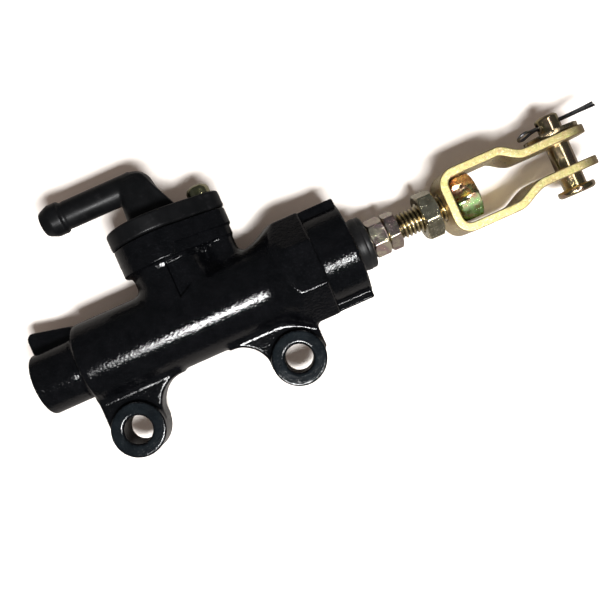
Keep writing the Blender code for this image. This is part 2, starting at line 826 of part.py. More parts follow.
def clevis_lock_nut():
    return lock_nut("clevis_lock_nut", *LOCK_NUT_X, NUT_FLATS, NUT_HOLE_R, LOCK_NUT_TURN)


def clevis_inner_nut():
    low, high = INNER_NUT_X
    obj = nut_blank("clevis_inner_nut", low, high, NUT_FLATS, INNER_NUT_TURN, both_ends=False)
    # the end that sits between the strip's two bends is turned down to clear them
    nose_r = 7.6
    nose = [(low - 1, 0), (low - 1, 4.2), (low + 2.4, nose_r), (high + 1, nose_r), (high + 1, 0)]
    trim(obj, turned(nose, NUT_SIDES))
    cut(obj, cylinder(NUT_HOLE_R, low - OVERRUN, high + OVERRUN, NUT_HOLE_SIDES))
    return finished(obj, YELLOW_ZINC)


def clevis_arm(side, depth):
    """One arm's (x, z) line along the strip, at a depth inside its outer face."""
    start, stop = JOG_X[side]
    half, tip = ARM_HALF[side], TIP_HALF[side]
    bend = CLEVIS_BEND
    line = arc(CLEVIS_X + bend, half - bend, bend - depth, 180, 90, 6)
    # the two bends of the step are eased over a few short chords
    for i in range(9):
        share = i / 8
        ease = share * share * (3 - 2 * share)
        lean = atan(6 * share * (1 - share) * (half - tip) / (stop - start))
        x = start + (stop - start) * share - depth * sin(lean)
        line.append((x, half - (half - tip) * ease - depth * cos(lean)))
    line.append((PIN_X + CLEVIS_WIDTH / 2, tip - depth))
    return [(x, side * z) for x, z in line]


def clevis():
    """A strip bent into a U whose arms step in towards each other before the pin."""
    half_width = CLEVIS_WIDTH / 2
    loop = clevis_arm(-1, 0.0)[::-1] + clevis_arm(1, 0.0)
    loop += clevis_arm(1, CLEVIS_THICK)[::-1] + clevis_arm(-1, CLEVIS_THICK)
    obj = piece("clevis", prism(loop, -half_width, half_width, along_y))
    # the arms' ends are rounded about the pin
    back, side = CLEVIS_X - 1, half_width + 1
    plan = [(back, -side), (PIN_X, -side)] + arc(PIN_X, 0, half_width, -90, 90, 16)
    plan += [(PIN_X, side), (back, side)]
    trim(obj, prism(plan, -20, 20, along_z))
    cut(
        obj,
        cylinder(THREAD_R + 0.25, CLEVIS_X - 2, CLEVIS_X + CLEVIS_THICK + 2, 24),
        cylinder(PIN_R + 0.15, -20, 20, 24, "Z", (PIN_X, 0, 0)),
    )
    return finished(obj, YELLOW_ZINC, (CLEVIS_X, 0, 0))


def clevis_pin():
    low, high = PIN_Z
    head_low, head_high, tip = 0.4, 0.2, 0.6  # chamfers
    outline = [  # (z, radius)
        (low, 0),
        (low, PIN_HEAD_R - head_low),
        (low + head_low, PIN_HEAD_R),
        (PIN_SHOULDER_Z - head_high, PIN_HEAD_R),
        (PIN_SHOULDER_Z, PIN_HEAD_R - head_high),
        (PIN_SHOULDER_Z, PIN_R),
        (high - tip, PIN_R),
        (high, PIN_R - tip),
        (high, 0),
    ]
    obj = piece("clevis_pin", turned(outline, 24, "Z", (PIN_X, 0, 0)))
    cut(obj, cylinder(COTTER_HOLE_R, PIN_X - 6, PIN_X + 6, 12, "X", (0, 0, COTTER_Z)))
    return finished(obj, YELLOW_ZINC, (PIN_X, 0, 0))


def clevis_washer():
    low, high = WASHER_LOW_Z, WASHER_LOW_Z + WASHER_THICK
    chamfer = 0.2
    outline = [  # (z, radius)
        (low, WASHER_HOLE_R),
        (low, WASHER_R - chamfer),
        (low + chamfer, WASHER_R),
        (high - chamfer, WASHER_R),
        (high, WASHER_R - chamfer),
        (high, WASHER_HOLE_R),
    ]
    centre = (WASHER_X, 0, 0)
    obj = piece("clevis_washer", turned(outline, 28, "Z", centre))
    return finished(obj, YELLOW_ZINC, centre)


def cotter_pin():
    """Round wire folded on itself: an eye, then two legs side by side through the pin."""
    leg = COTTER_LEG_HALF
    start = degrees(asin(leg / COTTER_EYE_R))
    eye_x = COTTER_X[0] + COTTER_EYE_R + COTTER_WIRE_R
    # (x, distance across in the eye's plane)
    flat = [(COTTER_X[1] - COTTER_WIRE_R, leg + 0.1), (126.0, leg), (COTTER_NECK_X, leg)]
    flat += arc(eye_x, 0, COTTER_EYE_R, start + 10, 350 - start, 16)
    flat += [(COTTER_NECK_X, -leg), (126.0, -leg - 0.1), (133.4, -leg - 1.0)]
    path = []
    for x, across in flat:
        sag = COTTER_SAG * min(max((COTTER_NECK_X - x) / 6.0, 0.0), 1.0)
        z = COTTER_Z + across * sin(COTTER_ROLL) - sag
        path.append((x, across * cos(COTTER_ROLL), z))
    obj = piece("cotter_pin", wire("cotter", path, COTTER_WIRE_R))
    return finished(obj, DARK_STEEL, (PIN_X, 0, COTTER_Z), 60)


# ---- assembly ------------------------------------------------------------
for old in list(bpy.data.objects):
    bpy.data.objects.remove(old, do_unlink=True)

layout = bpy.data.objects.new("bore_axis", None)
layout.location = (-MID_X * MM, 0.0, AXIS_HEIGHT * MM)
bpy.context.scene.collection.objects.link(layout)

for make in (
    cylinder_body,
    inlet_elbow,
    inlet_o_ring,
    inlet_screw,
    piston,
    primary_cup,
    secondary_cup,
    spring_seat,
    return_spring,
    stop_washer,
    snap_ring,
    dust_boot,
    push_rod,
    rod_lock_nut,
    threaded_stud,
    clevis_lock_nut,
    clevis,
    clevis_inner_nut,
    clevis_pin,
    clevis_washer,
    cotter_pin,
):
    make().parent = layout
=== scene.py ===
"""Looks of a rear brake master cylinder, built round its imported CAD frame.

Lengths are millimetres in the CAD's own layout: X runs along the bore from the outlet (low)
to the clevis (high), Z points up to the inlet and Y runs along the mounting bolts.  Zero is
on the bore axis, midway between those bolts.  place() turns them into the frame's metres.
The camera looks along +Y at the cylinder, which lies in front of a sheet of paper.
"""

import json
import math

import bmesh
import bpy
import numpy as np
from mathutils import Matrix, Vector

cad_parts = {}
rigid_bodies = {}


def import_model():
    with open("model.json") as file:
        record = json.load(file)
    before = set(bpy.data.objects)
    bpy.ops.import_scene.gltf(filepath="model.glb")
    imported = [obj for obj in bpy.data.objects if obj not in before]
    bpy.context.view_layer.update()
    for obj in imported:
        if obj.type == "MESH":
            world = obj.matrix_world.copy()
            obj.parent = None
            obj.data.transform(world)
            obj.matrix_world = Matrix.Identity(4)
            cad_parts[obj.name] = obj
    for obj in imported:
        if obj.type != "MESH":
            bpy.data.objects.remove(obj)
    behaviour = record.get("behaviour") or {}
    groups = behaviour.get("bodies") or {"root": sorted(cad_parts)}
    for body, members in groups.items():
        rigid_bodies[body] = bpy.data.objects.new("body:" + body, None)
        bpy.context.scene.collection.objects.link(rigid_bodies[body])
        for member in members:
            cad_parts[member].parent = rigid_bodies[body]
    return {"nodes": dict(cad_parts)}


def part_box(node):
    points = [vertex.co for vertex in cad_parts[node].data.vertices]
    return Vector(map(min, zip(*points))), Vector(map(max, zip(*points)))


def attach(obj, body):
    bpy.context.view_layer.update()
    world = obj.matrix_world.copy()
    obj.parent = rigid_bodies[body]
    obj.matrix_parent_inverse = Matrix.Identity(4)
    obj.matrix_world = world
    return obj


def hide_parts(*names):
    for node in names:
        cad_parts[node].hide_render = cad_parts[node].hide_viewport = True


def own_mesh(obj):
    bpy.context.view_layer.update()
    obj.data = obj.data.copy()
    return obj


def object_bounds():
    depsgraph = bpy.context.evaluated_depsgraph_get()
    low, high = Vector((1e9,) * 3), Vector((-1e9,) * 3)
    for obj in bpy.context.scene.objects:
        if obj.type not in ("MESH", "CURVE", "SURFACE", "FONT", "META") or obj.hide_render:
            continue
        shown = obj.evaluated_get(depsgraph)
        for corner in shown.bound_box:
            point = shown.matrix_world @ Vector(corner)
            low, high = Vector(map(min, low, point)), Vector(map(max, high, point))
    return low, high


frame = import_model()
CAD_LOW, CAD_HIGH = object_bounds()
SCENE = bpy.context.scene
COARSE = 1.0  # widens the grids when set above 1

# ---- driving dimensions ------------------------------------------------------
MM = 0.001
OUTLET_END = -47.6
LUG_X, LUG_Z, LUG_RADIUS = 25.0, -22.7, 8.0  # the bolt holes stand at -LUG_X and LUG_X
INLET_X, EAR_X = 0.9, 17.3  # inlet axis, and the flange screw in the ear beside it
STEM_X, SPIGOT_Z = 1.0, 43.0  # upright and level axes of the hose elbow
BOOT_START = 44.3
SPRING_START = -27.2
BALL_X, BALL_RADIUS, BALL_SEAT = 35.6, 4.6, 4.9  # ball end of the push rod in the piston
ROD_HEX, NUT_HEX = 10.3, 13.0  # across flats
NUT_BORE, PITCH = 4.07, 1.25
STUD_BORE = 2.66
THREAD_START, THREAD_END = 66.8, 91.0
THREAD_ROOT, THREAD_CREST = 3.24, 3.92
SHEET_HALF, CLEVIS_HALF_WIDTH = 1.3, 8.5  # the clevis strip
CLEVIS_END = 140.0  # the strip's arms run past the round ends that cut them
PIN_X, COTTER_Z = 119.4, 9.9  # clevis pin, and the split pin through it

cad_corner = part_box("cylinder_body")[0]
SHIFT = np.array([
    cad_corner.x / MM - OUTLET_END, 0.0, cad_corner.z / MM - (LUG_Z - LUG_RADIUS)
])


def place(points):
    return (np.asarray(points, float) + SHIFT) * MM


def spot(x, y, z):
    return tuple(place([(x, y, z)])[0])


AXIS_HEIGHT = float(spot(0, 0, 0)[2])


def add_object(name, data):
    obj = bpy.data.objects.new(name, data)
    SCENE.collection.objects.link(obj)
    return obj


# ---- fields: signed distances, negative inside -------------------------------
def ease_min(first, second, blend):
    """Joins two shapes, with a fillet about as wide as blend."""
    share = np.clip(0.5 + 0.5 * (second - first) / blend, 0, 1)
    return second + (first - second) * share - blend * share * (1 - share)


def ease_max(first, second, blend):
    return -ease_min(-first, -second, blend)


def round_max(first, second, edge):
    """Where two shapes meet at right angles, with the corner rounded to radius edge."""
    u, v = first + edge, second + edge
    return (
        np.minimum(np.maximum(u, v), 0) + np.hypot(np.maximum(u, 0), np.maximum(v, 0)) - edge
    )


def slab(coord, low, high):
    return np.abs(coord - (low + high) / 2) - (high - low) / 2


def segment_gap(start, end, u, v):
    """Squared distance from (u, v) to a line segment."""
    run, rise = end[0] - start[0], end[1] - start[1]
    from_u, from_v = u - start[0], v - start[1]
    along = np.clip((from_u * run + from_v * rise) / (run * run + rise * rise), 0, 1)
    off_u, off_v = from_u - run * along, from_v - rise * along
    return off_u * off_u + off_v * off_v


def polygon_field(points, u, v):
    """Exact signed distance to a closed polygon in the (u, v) plane."""
    points = np.asarray(points, float)
    nearest = np.full(u.shape, 1e9)
    inside = np.zeros(u.shape, bool)
    for start, end in zip(points, np.roll(points, -1, axis=0)):
        run, rise = end - start
        if run * run + rise * rise < 1e-12:
            continue  # two corners in one place
        nearest = np.minimum(nearest, segment_gap(start, end, u, v))
        if rise != 0:
            crosses = (start[1] > v) != (end[1] > v)
            inside ^= crosses & (u < start[0] + (v - start[1]) * (run / rise))
    distance = np.sqrt(nearest)
    return np.where(inside, -distance, distance)


def fillet(points, size, steps=3, closed=True, keep_axis=True):
    """Rounds each corner with a short curve that starts size from it.

    Corners on the axis stay sharp when keep_axis is set, and so do an open line's ends.
    """
    out = []
    count = len(points)
    for i in range(count):
        corner = np.array(points[i], float)
        if (not closed and i in (0, count - 1)) or (keep_axis and abs(corner[1]) < 1e-9):
            out.append(tuple(corner))
            continue
        before = np.array(points[i - 1], float) - corner
        after = np.array(points[(i + 1) % count], float) - corner
        before_length, after_length = np.linalg.norm(before), np.linalg.norm(after)
        reach = min(size, 0.46 * before_length, 0.46 * after_length)
        start = corner + before / before_length * reach
        end = corner + after / after_length * reach
        for k in range(steps + 1):
            f = k / steps
            out.append(tuple((1 - f) ** 2 * start + 2 * f * (1 - f) * corner + f * f * end))
    return out


def lathe_field(outline, along, radius, rounding=0.0):
    """A turned shape from (along, radius) points; points on the axis are pushed past it."""
    points = fillet(outline, rounding) if rounding else outline
    points = [(p[0], p[1] if p[1] > 1e-9 else -30.0) for p in points]
    return polygon_field(points, along, radius)


def two_circles(x, y, large_x, large_radius, small_x, small_radius):
    """Distance to the outline wrapped round a large circle and a small one at higher X."""
    span = small_x - large_x
    side, along = np.abs(y), x - large_x
    lean = (large_radius - small_radius) / span
    upright = math.sqrt(1 - lean * lean)
    zone = -lean * side + upright * along
    near_large = np.hypot(side, along) - large_radius
    near_small = np.hypot(side, along - span) - small_radius
    between = side * upright + along * lean - large_radius
    return np.where(
        zone < 0, near_large, np.where(zone > upright * span, near_small, between)
    )


# ---- field to mesh: surface nets ---------------------------------------------
BLOCK = 4  # cells along a block of the grid
FAR = 9.0  # stands for any distance away from the surface
SLACK = 0.9  # a field may be this far off where it blends


def grid_of(counts):
    """All whole-number positions in a box of the given counts."""
    axes = np.meshgrid(*[np.arange(n) for n in counts], indexing="ij")
    return np.stack(axes, -1).reshape(-1, 3)


def sample(field, low, step, cells):
    """The field at every grid corner, worked out only in blocks near the surface."""
    blocks = cells // BLOCK
    block = grid_of(blocks)
    distance = field(*(low + (block + 0.5) * BLOCK * step).T)
    sign = np.where(distance < 0, -FAR, FAR).reshape(blocks)
    values = np.full(cells + 1, FAR, np.float32)
    for axis in range(3):
        sign = np.repeat(sign, BLOCK, axis)
    values[:-1, :-1, :-1] = sign
    near = np.abs(distance) < BLOCK * step * 0.5 * math.sqrt(3) + SLACK
    corner = block[near][:, None] * BLOCK + grid_of([BLOCK + 1] * 3)[None]
    mark = np.zeros(cells + 1, bool)
    mark[tuple(corner.reshape(-1, 3).T)] = True
    values[mark] = field(*(low + np.argwhere(mark) * step).T)
    return values


def net_points(values, inside, cells):
    """One point per cell that the surface crosses, and a grid of the points' indices."""
    corners = grid_of((2, 2, 2))
    count = np.zeros(cells, np.int8)
    for i, j, k in corners:
        count += inside[i : i + cells[0], j : j + cells[1], k : k + cells[2]]
    active = (count > 0) & (count < 8)
    cell = np.argwhere(active)
    index = np.full(cells, -1, np.int64)
    index[active] = np.arange(len(cell))
    total, hits = np.zeros((len(cell), 3)), np.zeros(len(cell))
    for start in corners:
        for axis in range(3):
            if start[axis]:
                continue
            end = start.copy()
            end[axis] = 1
            at_start = values[tuple((cell + start).T)].astype(float)
            at_end = values[tuple((cell + end).T)].astype(float)
            cross = (at_start < 0) != (at_end < 0)
            point = np.tile(start.astype(float), (len(cell), 1))
            point[:, axis] += np.where(
                cross, at_start / np.where(cross, at_start - at_end, 1), 0
            )
            total[cross] += point[cross]
            hits[cross] += 1
    return cell + total / hits[:, None], index


def net_quads(inside, index, cells):
    """A quad round every grid edge that the surface crosses."""
    quads = []
    for axis in range(3):
        start = inside.take(np.arange(cells[axis]), axis)
        end = inside.take(np.arange(1, cells[axis] + 1), axis)
        edges = np.argwhere(start != end)
        u, v = (axis + 1) % 3, (axis + 2) % 3
        edges = edges[
            (edges[:, u] > 0) & (edges[:, v] > 0)
            & (edges[:, u] < cells[u]) & (edges[:, v] < cells[v])
        ]
        ring = []
        for step_u, step_v in ((-1, -1), (0, -1), (0, 0), (-1, 0)):
            around = edges.copy()
            around[:, u] += step_u
            around[:, v] += step_v
            ring.append(index[tuple(around.T)])
        ring = np.stack(ring, 1)
        outward = start[tuple(edges.T)]
        quads.append(np.where(outward[:, None], ring, ring[:, ::-1]))
    return np.concatenate(quads)


def slope(field, points, nudge):
    """The field and its gradient."""
    here = field(*points.T)
    ahead = [field(*(points + nudge * axis).T) - here for axis in np.eye(3)]
    return here, np.stack(ahead, 1) / nudge


def skin(name, field, low, high, step):
    """Meshes a field; each point of the net is slid onto the surface."""
    step = step * COARSE
    low, high = np.array(low, float), np.array(high, float)
    cells = np.ceil((high - low) / step / BLOCK).astype(int) * BLOCK
    values = sample(field, low, step, cells)
    inside = values < 0
    points, index = net_points(values, inside, cells)
    points = low + points * step
    for _ in range(2):
        here, gradient = slope(field, points, nudge=0.03)
        steepness = np.maximum((gradient * gradient).sum(1), 0.3)
        move = (here / steepness)[:, None] * gradient
        length = np.linalg.norm(move, axis=1)
        move *= np.minimum(1, 0.5 * step / np.maximum(length, 1e-9))[:, None]
        points = points - move
    gradient = slope(field, points, nudge=0.06)[1]
    normals = gradient / np.maximum(np.linalg.norm(gradient, axis=1), 1e-9)[:, None]
    obj = mesh_piece(name, points, net_quads(inside, index, cells))
    obj.data.normals_split_custom_set_from_vertices(normals.tolist())
    return obj


def mesh_piece(name, points, faces):
    """A smooth mesh whose faces all have the same number of corners."""
    mesh = bpy.data.meshes.new(name)
    coords = place(points)
    mesh.vertices.add(len(coords))
    mesh.vertices.foreach_set("co", coords.astype(np.float32).ravel())
    count, sides = faces.shape
    mesh.loops.add(count * sides)
    mesh.loops.foreach_set("vertex_index", faces.astype(np.int32).ravel())
    mesh.polygons.add(count)
    starts = np.arange(0, count * sides, sides, dtype=np.int32)
    mesh.polygons.foreach_set("loop_start", starts)
    mesh.update(calc_edges=True)
    mesh.polygons.foreach_set("use_smooth", np.ones(count, bool))
    return add_object(name, mesh)


def tidy(obj, angle):
    """Merges poles, turns every face outwards and keeps edges over angle degrees crisp."""
    bm = bmesh.new()
    bm.from_mesh(obj.data)
    bmesh.ops.remove_doubles(bm, verts=bm.verts, dist=1e-7)
    bmesh.ops.recalc_face_normals(bm, faces=bm.faces)
    bm.to_mesh(obj.data)
    bm.free()
    obj.data.shade_smooth()
    obj.data.set_sharp_from_angle(angle=math.radians(angle))
    return obj


# ---- turned and swept meshes -------------------------------------------------
SHAPED = 99.0  # radius of the profile rows whose true radius a shape function gives


def turned(name, profile, sides=96, axis="X", centre=(0, 0, 0), shape=None, closed=True,
           angle=30):
    """Turns (along, radius) points about X or Z; shape may change the radius on the way."""
    profile = np.array(profile, float)
    rows = len(profile)
    along = np.repeat(profile[:, :1], sides, 1)
    radius = np.repeat(profile[:, 1:2], sides, 1)
    theta = np.repeat((np.arange(sides) * math.tau / sides)[None], rows, 0)
    if shape is not None:
        radius = shape(along, radius, theta)
    u, v = radius * np.cos(theta), radius * np.sin(theta)
    grid = np.stack([along, u, v] if axis == "X" else [u, v, along], -1)
    grid = grid.reshape(-1, 3) + np.array(centre, float)
    spans = rows if closed else rows - 1
    i, j = np.meshgrid(np.arange(spans), np.arange(sides), indexing="ij")
    next_i, next_j = (i + 1) % rows, (j + 1) % sides
    ring = [i * sides + j, i * sides + next_j, next_i * sides + next_j, next_i * sides + j]
    return tidy(mesh_piece(name, grid, np.stack(ring, -1).reshape(-1, 4)), angle)


def thread_wave(x, theta):
    """Height of the thread from root (0) to crest (1)."""
    turn = np.mod(x / PITCH - theta / math.tau, 1.0)
    return np.clip(np.abs(2 * turn - 1) * 1.3 - 0.12, 0, 1)


def hexagon(low, high, across, turn, lead_share, both=True):
    """Profile rows of a hexagon with chamfered corners, and its wall(x, theta).

    The rows stand close over each chamfer, for lead_share of the corners' height; the
    chamfer at the low end is left out unless both is set.
    """
    flat = across / 2
    corner = flat / math.cos(math.pi / 6)
    lead = (corner - flat) * lead_share
    xs = [low + (lead * k / 9) for k in range(10)] if both else [
        low + 0.12 * k / 3 for k in range(4)
    ]
    xs += list(np.linspace(xs[-1], high - lead, 6)[1:-1])
    xs += [high - lead * k / 9 for k in range(9, -1, -1)]

    def wall(x, theta):
        from_flat = np.mod(theta - turn + math.pi / 6, math.pi / 3) - math.pi / 6
        six = ease_min(flat / np.cos(from_flat), corner * 0.992, 0.10)
        cone = flat * 0.985 + (high - x) / 0.62
        if both:
            cone = np.minimum(cone, flat * 0.985 + (x - low) / 0.62)
        return np.maximum(ease_min(six, cone, 0.10), flat * 0.98)

    return [(x, SHAPED) for x in xs], wall


def nut(name, low, high, across, bore, turn, both=True, threaded=True, reshape=None):
    """A hexagon nut turned by turn degrees; reshape(x, wall, theta) may change its wall."""
    rows, wall = hexagon(low, high, across, math.radians(turn), 0.62 * 1.1, both)
    inner, outer = bore + 0.55, across / 2 * 0.985
    face = [inner + (outer - inner) * k / 3 for k in range(4)]
    run = high - low - 1.0  # bore between its two mouths
    count = max(4, int(run / 0.13))
    profile = [(low, radius) for radius in face] + rows
    profile += [(high, radius) for radius in reversed(face)]
    profile += [(high - 0.5 - run * k / count, bore) for k in range(count)]
    profile += [(low + 0.5, bore)]

    def shape(x, radius, theta):
        side = wall(x, theta)
        if reshape is not None:
            side = reshape(x, side, theta)
        out = np.where(radius == SHAPED, side, radius)
        if threaded:
            thread = (x > low + 0.45) & (x < high - 0.45) & (np.abs(radius - bore) < 1e-6)
            out = np.where(thread, bore + 0.12 - 0.15 * thread_wave(x, theta), out)
        return out

    return turned(name, profile, 180, shape=shape, angle=40)


def swept(name, path, section, up):
    """Carries a closed section along a path and caps it; up is the section's second axis."""
    tangent = np.gradient(path, axis=0)
    tangent /= np.linalg.norm(tangent, axis=1)[:, None]
    side = np.cross(tangent, up)
    side /= np.linalg.norm(side, axis=1)[:, None]
    up = np.cross(side, tangent)
    section = np.array(section, float)[None]
    rings = path[:, None] + section[:, :, :1] * side[:, None] + section[:, :, 1:] * up[:, None]
    n, m = rings.shape[:2]
    faces = []
    for i in range(n - 1):
        for j in range(m):
            k = (j + 1) % m
            faces.append((i * m + j, i * m + k, (i + 1) * m + k, (i + 1) * m + j))
    faces += [tuple(range(m))[::-1], tuple((n - 1) * m + j for j in range(m))]
    mesh = bpy.data.meshes.new(name)
    mesh.from_pydata([tuple(p) for p in place(rings.reshape(-1, 3))], [], faces)
    return tidy(add_object(name, mesh), angle=50)


# ---- materials ---------------------------------------------------------------
class Look:
    """A small helper for node materials in object space."""

    def __init__(self, name):
        self.mat = bpy.data.materials.new(name)
        self.mat.use_nodes = True
        self.nodes, self.links = self.mat.node_tree.nodes, self.mat.node_tree.links
        self.shader = self.nodes["Principled BSDF"]
        outputs = self.nodes.new("ShaderNodeTexCoord").outputs
        self.coord, self.surface_normal = outputs["Object"], outputs["Normal"]

    def fill(self, socket, value):
        """Links a socket, or sets it to a number or a colour."""
        if isinstance(value, bpy.types.NodeSocket):
            self.links.new(value, socket)
        elif isinstance(value, tuple):
            socket.default_value = (*value, 1.0)
        else:
            socket.default_value = value

    def noise(self, scale, detail=3.0, rough=0.5, distortion=0.0, stretch=None):
        node = self.nodes.new("ShaderNodeTexNoise")
        vector = self.coord
        if stretch:
            mapping = self.nodes.new("ShaderNodeMapping")
            mapping.inputs["Scale"].default_value = stretch
            self.links.new(self.coord, mapping.inputs["Vector"])
            vector = mapping.outputs["Vector"]
        self.links.new(vector, node.inputs["Vector"])
        node.inputs["Scale"].default_value = scale
        node.inputs["Detail"].default_value = detail
        node.inputs["Roughness"].default_value = rough
        node.inputs["Distortion"].default_value = distortion
        return node.outputs["Fac"]

    def cells(self, scale):
        node = self.nodes.new("ShaderNodeTexVoronoi")
        self.links.new(self.coord, node.inputs["Vector"])
        node.inputs["Scale"].default_value = scale
        return node.outputs["Distance"]

    def ramp(self, value, stops):
        """A colour ramp; each stop is (position, colour or grey)."""
        node = self.nodes.new("ShaderNodeValToRGB")
        elements = node.color_ramp.elements
        while len(elements) < len(stops):
            elements.new(0.5)
        for element, (at, colour) in zip(elements, stops):
            element.position = at
            if isinstance(colour, (int, float)):
                colour = (colour,) * 3
            element.color = (*colour, 1.0)
        self.links.new(value, node.inputs["Fac"])
        return node.outputs["Color"]

    def mask(self, value, low, high):
        """Rises from 0 where value is low to 1 where it is high."""
        return self.ramp(value, [(low, 0.0), (high, 1.0)])

    def math(self, operation, first, second=0.5):
        node = self.nodes.new("ShaderNodeMath")
        node.operation = operation
        self.fill(node.inputs[0], first)
        self.fill(node.inputs[1], second)
        return node.outputs["Value"]

    def mix(self, factor, base, colour):
        node = self.nodes.new("ShaderNodeMix")
        node.data_type = "RGBA"
        for index, value in ((0, factor), (6, base), (7, colour)):
            self.fill(node.inputs[index], value)
        return node.outputs[2]

    def tint(self, base, mask, amount, colour):
        """Lays a colour over the base where the mask is 1, at the given strength."""
        return self.mix(self.math("MULTIPLY", mask, amount), base, colour)

    def bump(self, height, distance, strength, normal=None):
        node = self.nodes.new("ShaderNodeBump")
        node.inputs["Strength"].default_value = strength
        node.inputs["Distance"].default_value = distance
        self.links.new(height, node.inputs["Height"])
        if normal is not None:
            self.links.new(normal, node.inputs["Normal"])
        return node.outputs["Normal"]

    def split(self, vector):
        node = self.nodes.new("ShaderNodeSeparateXYZ")
        self.links.new(vector, node.inputs[0])
        return node.outputs

    def set(self, **values):
        for name, value in values.items():
            self.fill(self.shader.inputs[name.replace("_", " ")], value)
        return self


def black_paint(name, peel, low, high):
    """Glossy black over rough cast metal: wavy skin of depth peel, pinholes and specks."""
    look = Look(name)
    wave = look.noise(scale=1250, detail=2.0, rough=0.55)
    fine = look.noise(scale=3600, detail=2.0)
    slow = look.noise(scale=330, detail=2.0)
    pits = look.mask(look.cells(scale=1300), low=0.0, high=0.20)
    normal = look.bump(slow, distance=0.00006, strength=0.9)
    normal = look.bump(wave, distance=peel, strength=0.9, normal=normal)
    normal = look.bump(fine, distance=0.000018, strength=0.8, normal=normal)
    normal = look.bump(pits, distance=0.000014, strength=0.7, normal=normal)
    specks = look.mask(look.noise(scale=5200, detail=1.0, rough=0.6), low=0.62, high=0.72)
    cloud = look.ramp(slow, [(0.35, low), (0.7, high)])
    colour = look.tint(cloud, specks, amount=0.20, colour=(0.036, 0.040, 0.048))
    rough = look.ramp(look.noise(scale=700, rough=0.6), [(0.3, 0.07), (0.7, 0.14)])
    look.set(Base_Color=colour, Roughness=rough, Normal=normal, Specular_IOR_Level=0.36)
    return look.mat


def machined():
    """Bare turned aluminium inside the ports and the bore."""
    look = Look("machined_metal")
    lines = look.noise(scale=900, detail=2.0, rough=0.6, stretch=(9.0, 0.6, 0.6))
    cloud = look.noise(scale=150)
    return look.set(
        Base_Color=look.ramp(cloud, [(0.3, (0.34, 0.34, 0.35)), (0.7, (0.52, 0.52, 0.53))]),
        Metallic=1.0,
        Roughness=look.ramp(lines, [(0.2, 0.24), (0.8, 0.42)]),
        Normal=look.bump(lines, distance=0.00001, strength=0.6),
    ).mat


def black_plastic():
    """Satin moulded plastic, a little greyer and softer than the paint."""
    look = Look("black_plastic")
    grain = look.noise(scale=1500, rough=0.6)
    slow = look.noise(scale=200, detail=2.0)
    scuff = look.noise(scale=480, detail=4.0, rough=0.7, distortion=1.0)
    scuff = look.mask(scuff, low=0.58, high=0.72)
    normal = look.bump(grain, distance=0.000012, strength=0.8)
    normal = look.bump(slow, distance=0.00006, strength=0.4, normal=normal)
    colour = look.ramp(slow, [(0.3, (0.0022, 0.0024, 0.0027)), (0.7, (0.0038, 0.0040, 0.0045))])
    colour = look.tint(colour, scuff, amount=0.35, colour=(0.016, 0.016, 0.018))
    rough = look.mix(scuff, look.ramp(slow, [(0.3, 0.30), (0.7, 0.38)]), (0.48, 0.48, 0.48))
    look.set(Base_Color=colour, Roughness=rough, Normal=normal, Specular_IOR_Level=0.22)
    return look.mat


def rubber():
    """Dull black with a little dust."""
    look = Look("black_rubber")
    grain = look.noise(scale=2300, rough=0.65)
    slow = look.noise(scale=300, detail=2.0)
    dust = look.mask(look.noise(scale=700, detail=5.0, rough=0.75), low=0.56, high=0.75)
    colour = look.ramp(slow, [(0.3, (0.0052, 0.0053, 0.0057)), (0.7, (0.0085, 0.0086, 0.009))])
    colour = look.tint(colour, dust, amount=0.25, colour=(0.05, 0.049, 0.047))
    normal = look.bump(grain, distance=0.000012, strength=0.8)
    rough = look.ramp(slow, [(0.3, 0.36), (0.7, 0.46)])
    look.set(Base_Color=colour, Roughness=rough, Normal=normal, Specular_IOR_Level=0.3)
    return look.mat


def zinc(name, colours, rough, scale, grain=0.000008, stretch=(1.0, 1.0, 1.0), stain=0.5,
         shade_tilt=0.0, finish=None):
    """Passivated zinc plate, whose film drifts through the colours in cloudy patches.

    scale sets the patches' size and stretch their shape, rough is the range of roughness,
    grain the depth of the fine bumps, stain the strength of the brown stains, and shade_tilt
    the drift from underside to top, which is painted light and shade; a pale cream painted
    sheen lies where the surface is seen at a grazing angle; finish(look, colour) may add to it.
    """
    look = Look(name)
    drift = look.noise(scale=scale, rough=0.6, distortion=0.8, stretch=stretch)
    patches = look.noise(scale=scale * 2.7, detail=4.0, rough=0.65, distortion=0.4)
    mixed = look.math(
        "ADD", look.math("MULTIPLY", drift, 0.72), look.math("MULTIPLY", patches, 0.28)
    )
    # painted light and shade: shade_tilt drifts the colour with height, to the first colours
    # below the axis and the last above
    if shade_tilt:
        height = look.math("SUBTRACT", look.split(look.coord)["Z"], AXIS_HEIGHT)
        mixed = look.math("ADD", mixed, look.math("MULTIPLY", height, shade_tilt))
    last = len(colours) - 1
    colour = look.ramp(mixed, [(0.30 + 0.40 * i / last, c) for i, c in enumerate(colours)])
    stains = look.mask(look.noise(scale=900, detail=4.0, rough=0.7), low=0.60, high=0.78)
    colour = look.tint(colour, stains, amount=stain, colour=(0.17, 0.13, 0.09))
    # painted sheen: pale cream laid over the colour where the surface is seen at a grazing
    # angle
    facing = look.nodes.new("ShaderNodeLayerWeight")
    facing.inputs["Blend"].default_value = 0.35
    edge = look.mask(facing.outputs["Facing"], low=0.0, high=1.0)
    colour = look.tint(colour, edge, amount=0.45, colour=(0.86, 0.80, 0.62))
    scratch = look.noise(scale=1500, detail=2.0, rough=0.6, stretch=(0.35, 1.6, 1.6))
    fine = look.math("MULTIPLY", look.noise(scale=2600, rough=0.6), 0.7)
    normal = look.bump(look.math("ADD", fine, scratch), distance=grain, strength=0.9)
    normal = look.bump(drift, distance=0.00003, strength=0.5, normal=normal)
    blotches = look.noise(scale=700, detail=4.0, rough=0.7)
    rough_map = look.ramp(blotches, [(0.3, rough[0]), (0.72, rough[1])])
    look.set(Base_Color=colour, Metallic=1.0, Roughness=rough_map, Normal=normal)
    if finish is not None:
        finish(look, colour)
    return look.mat


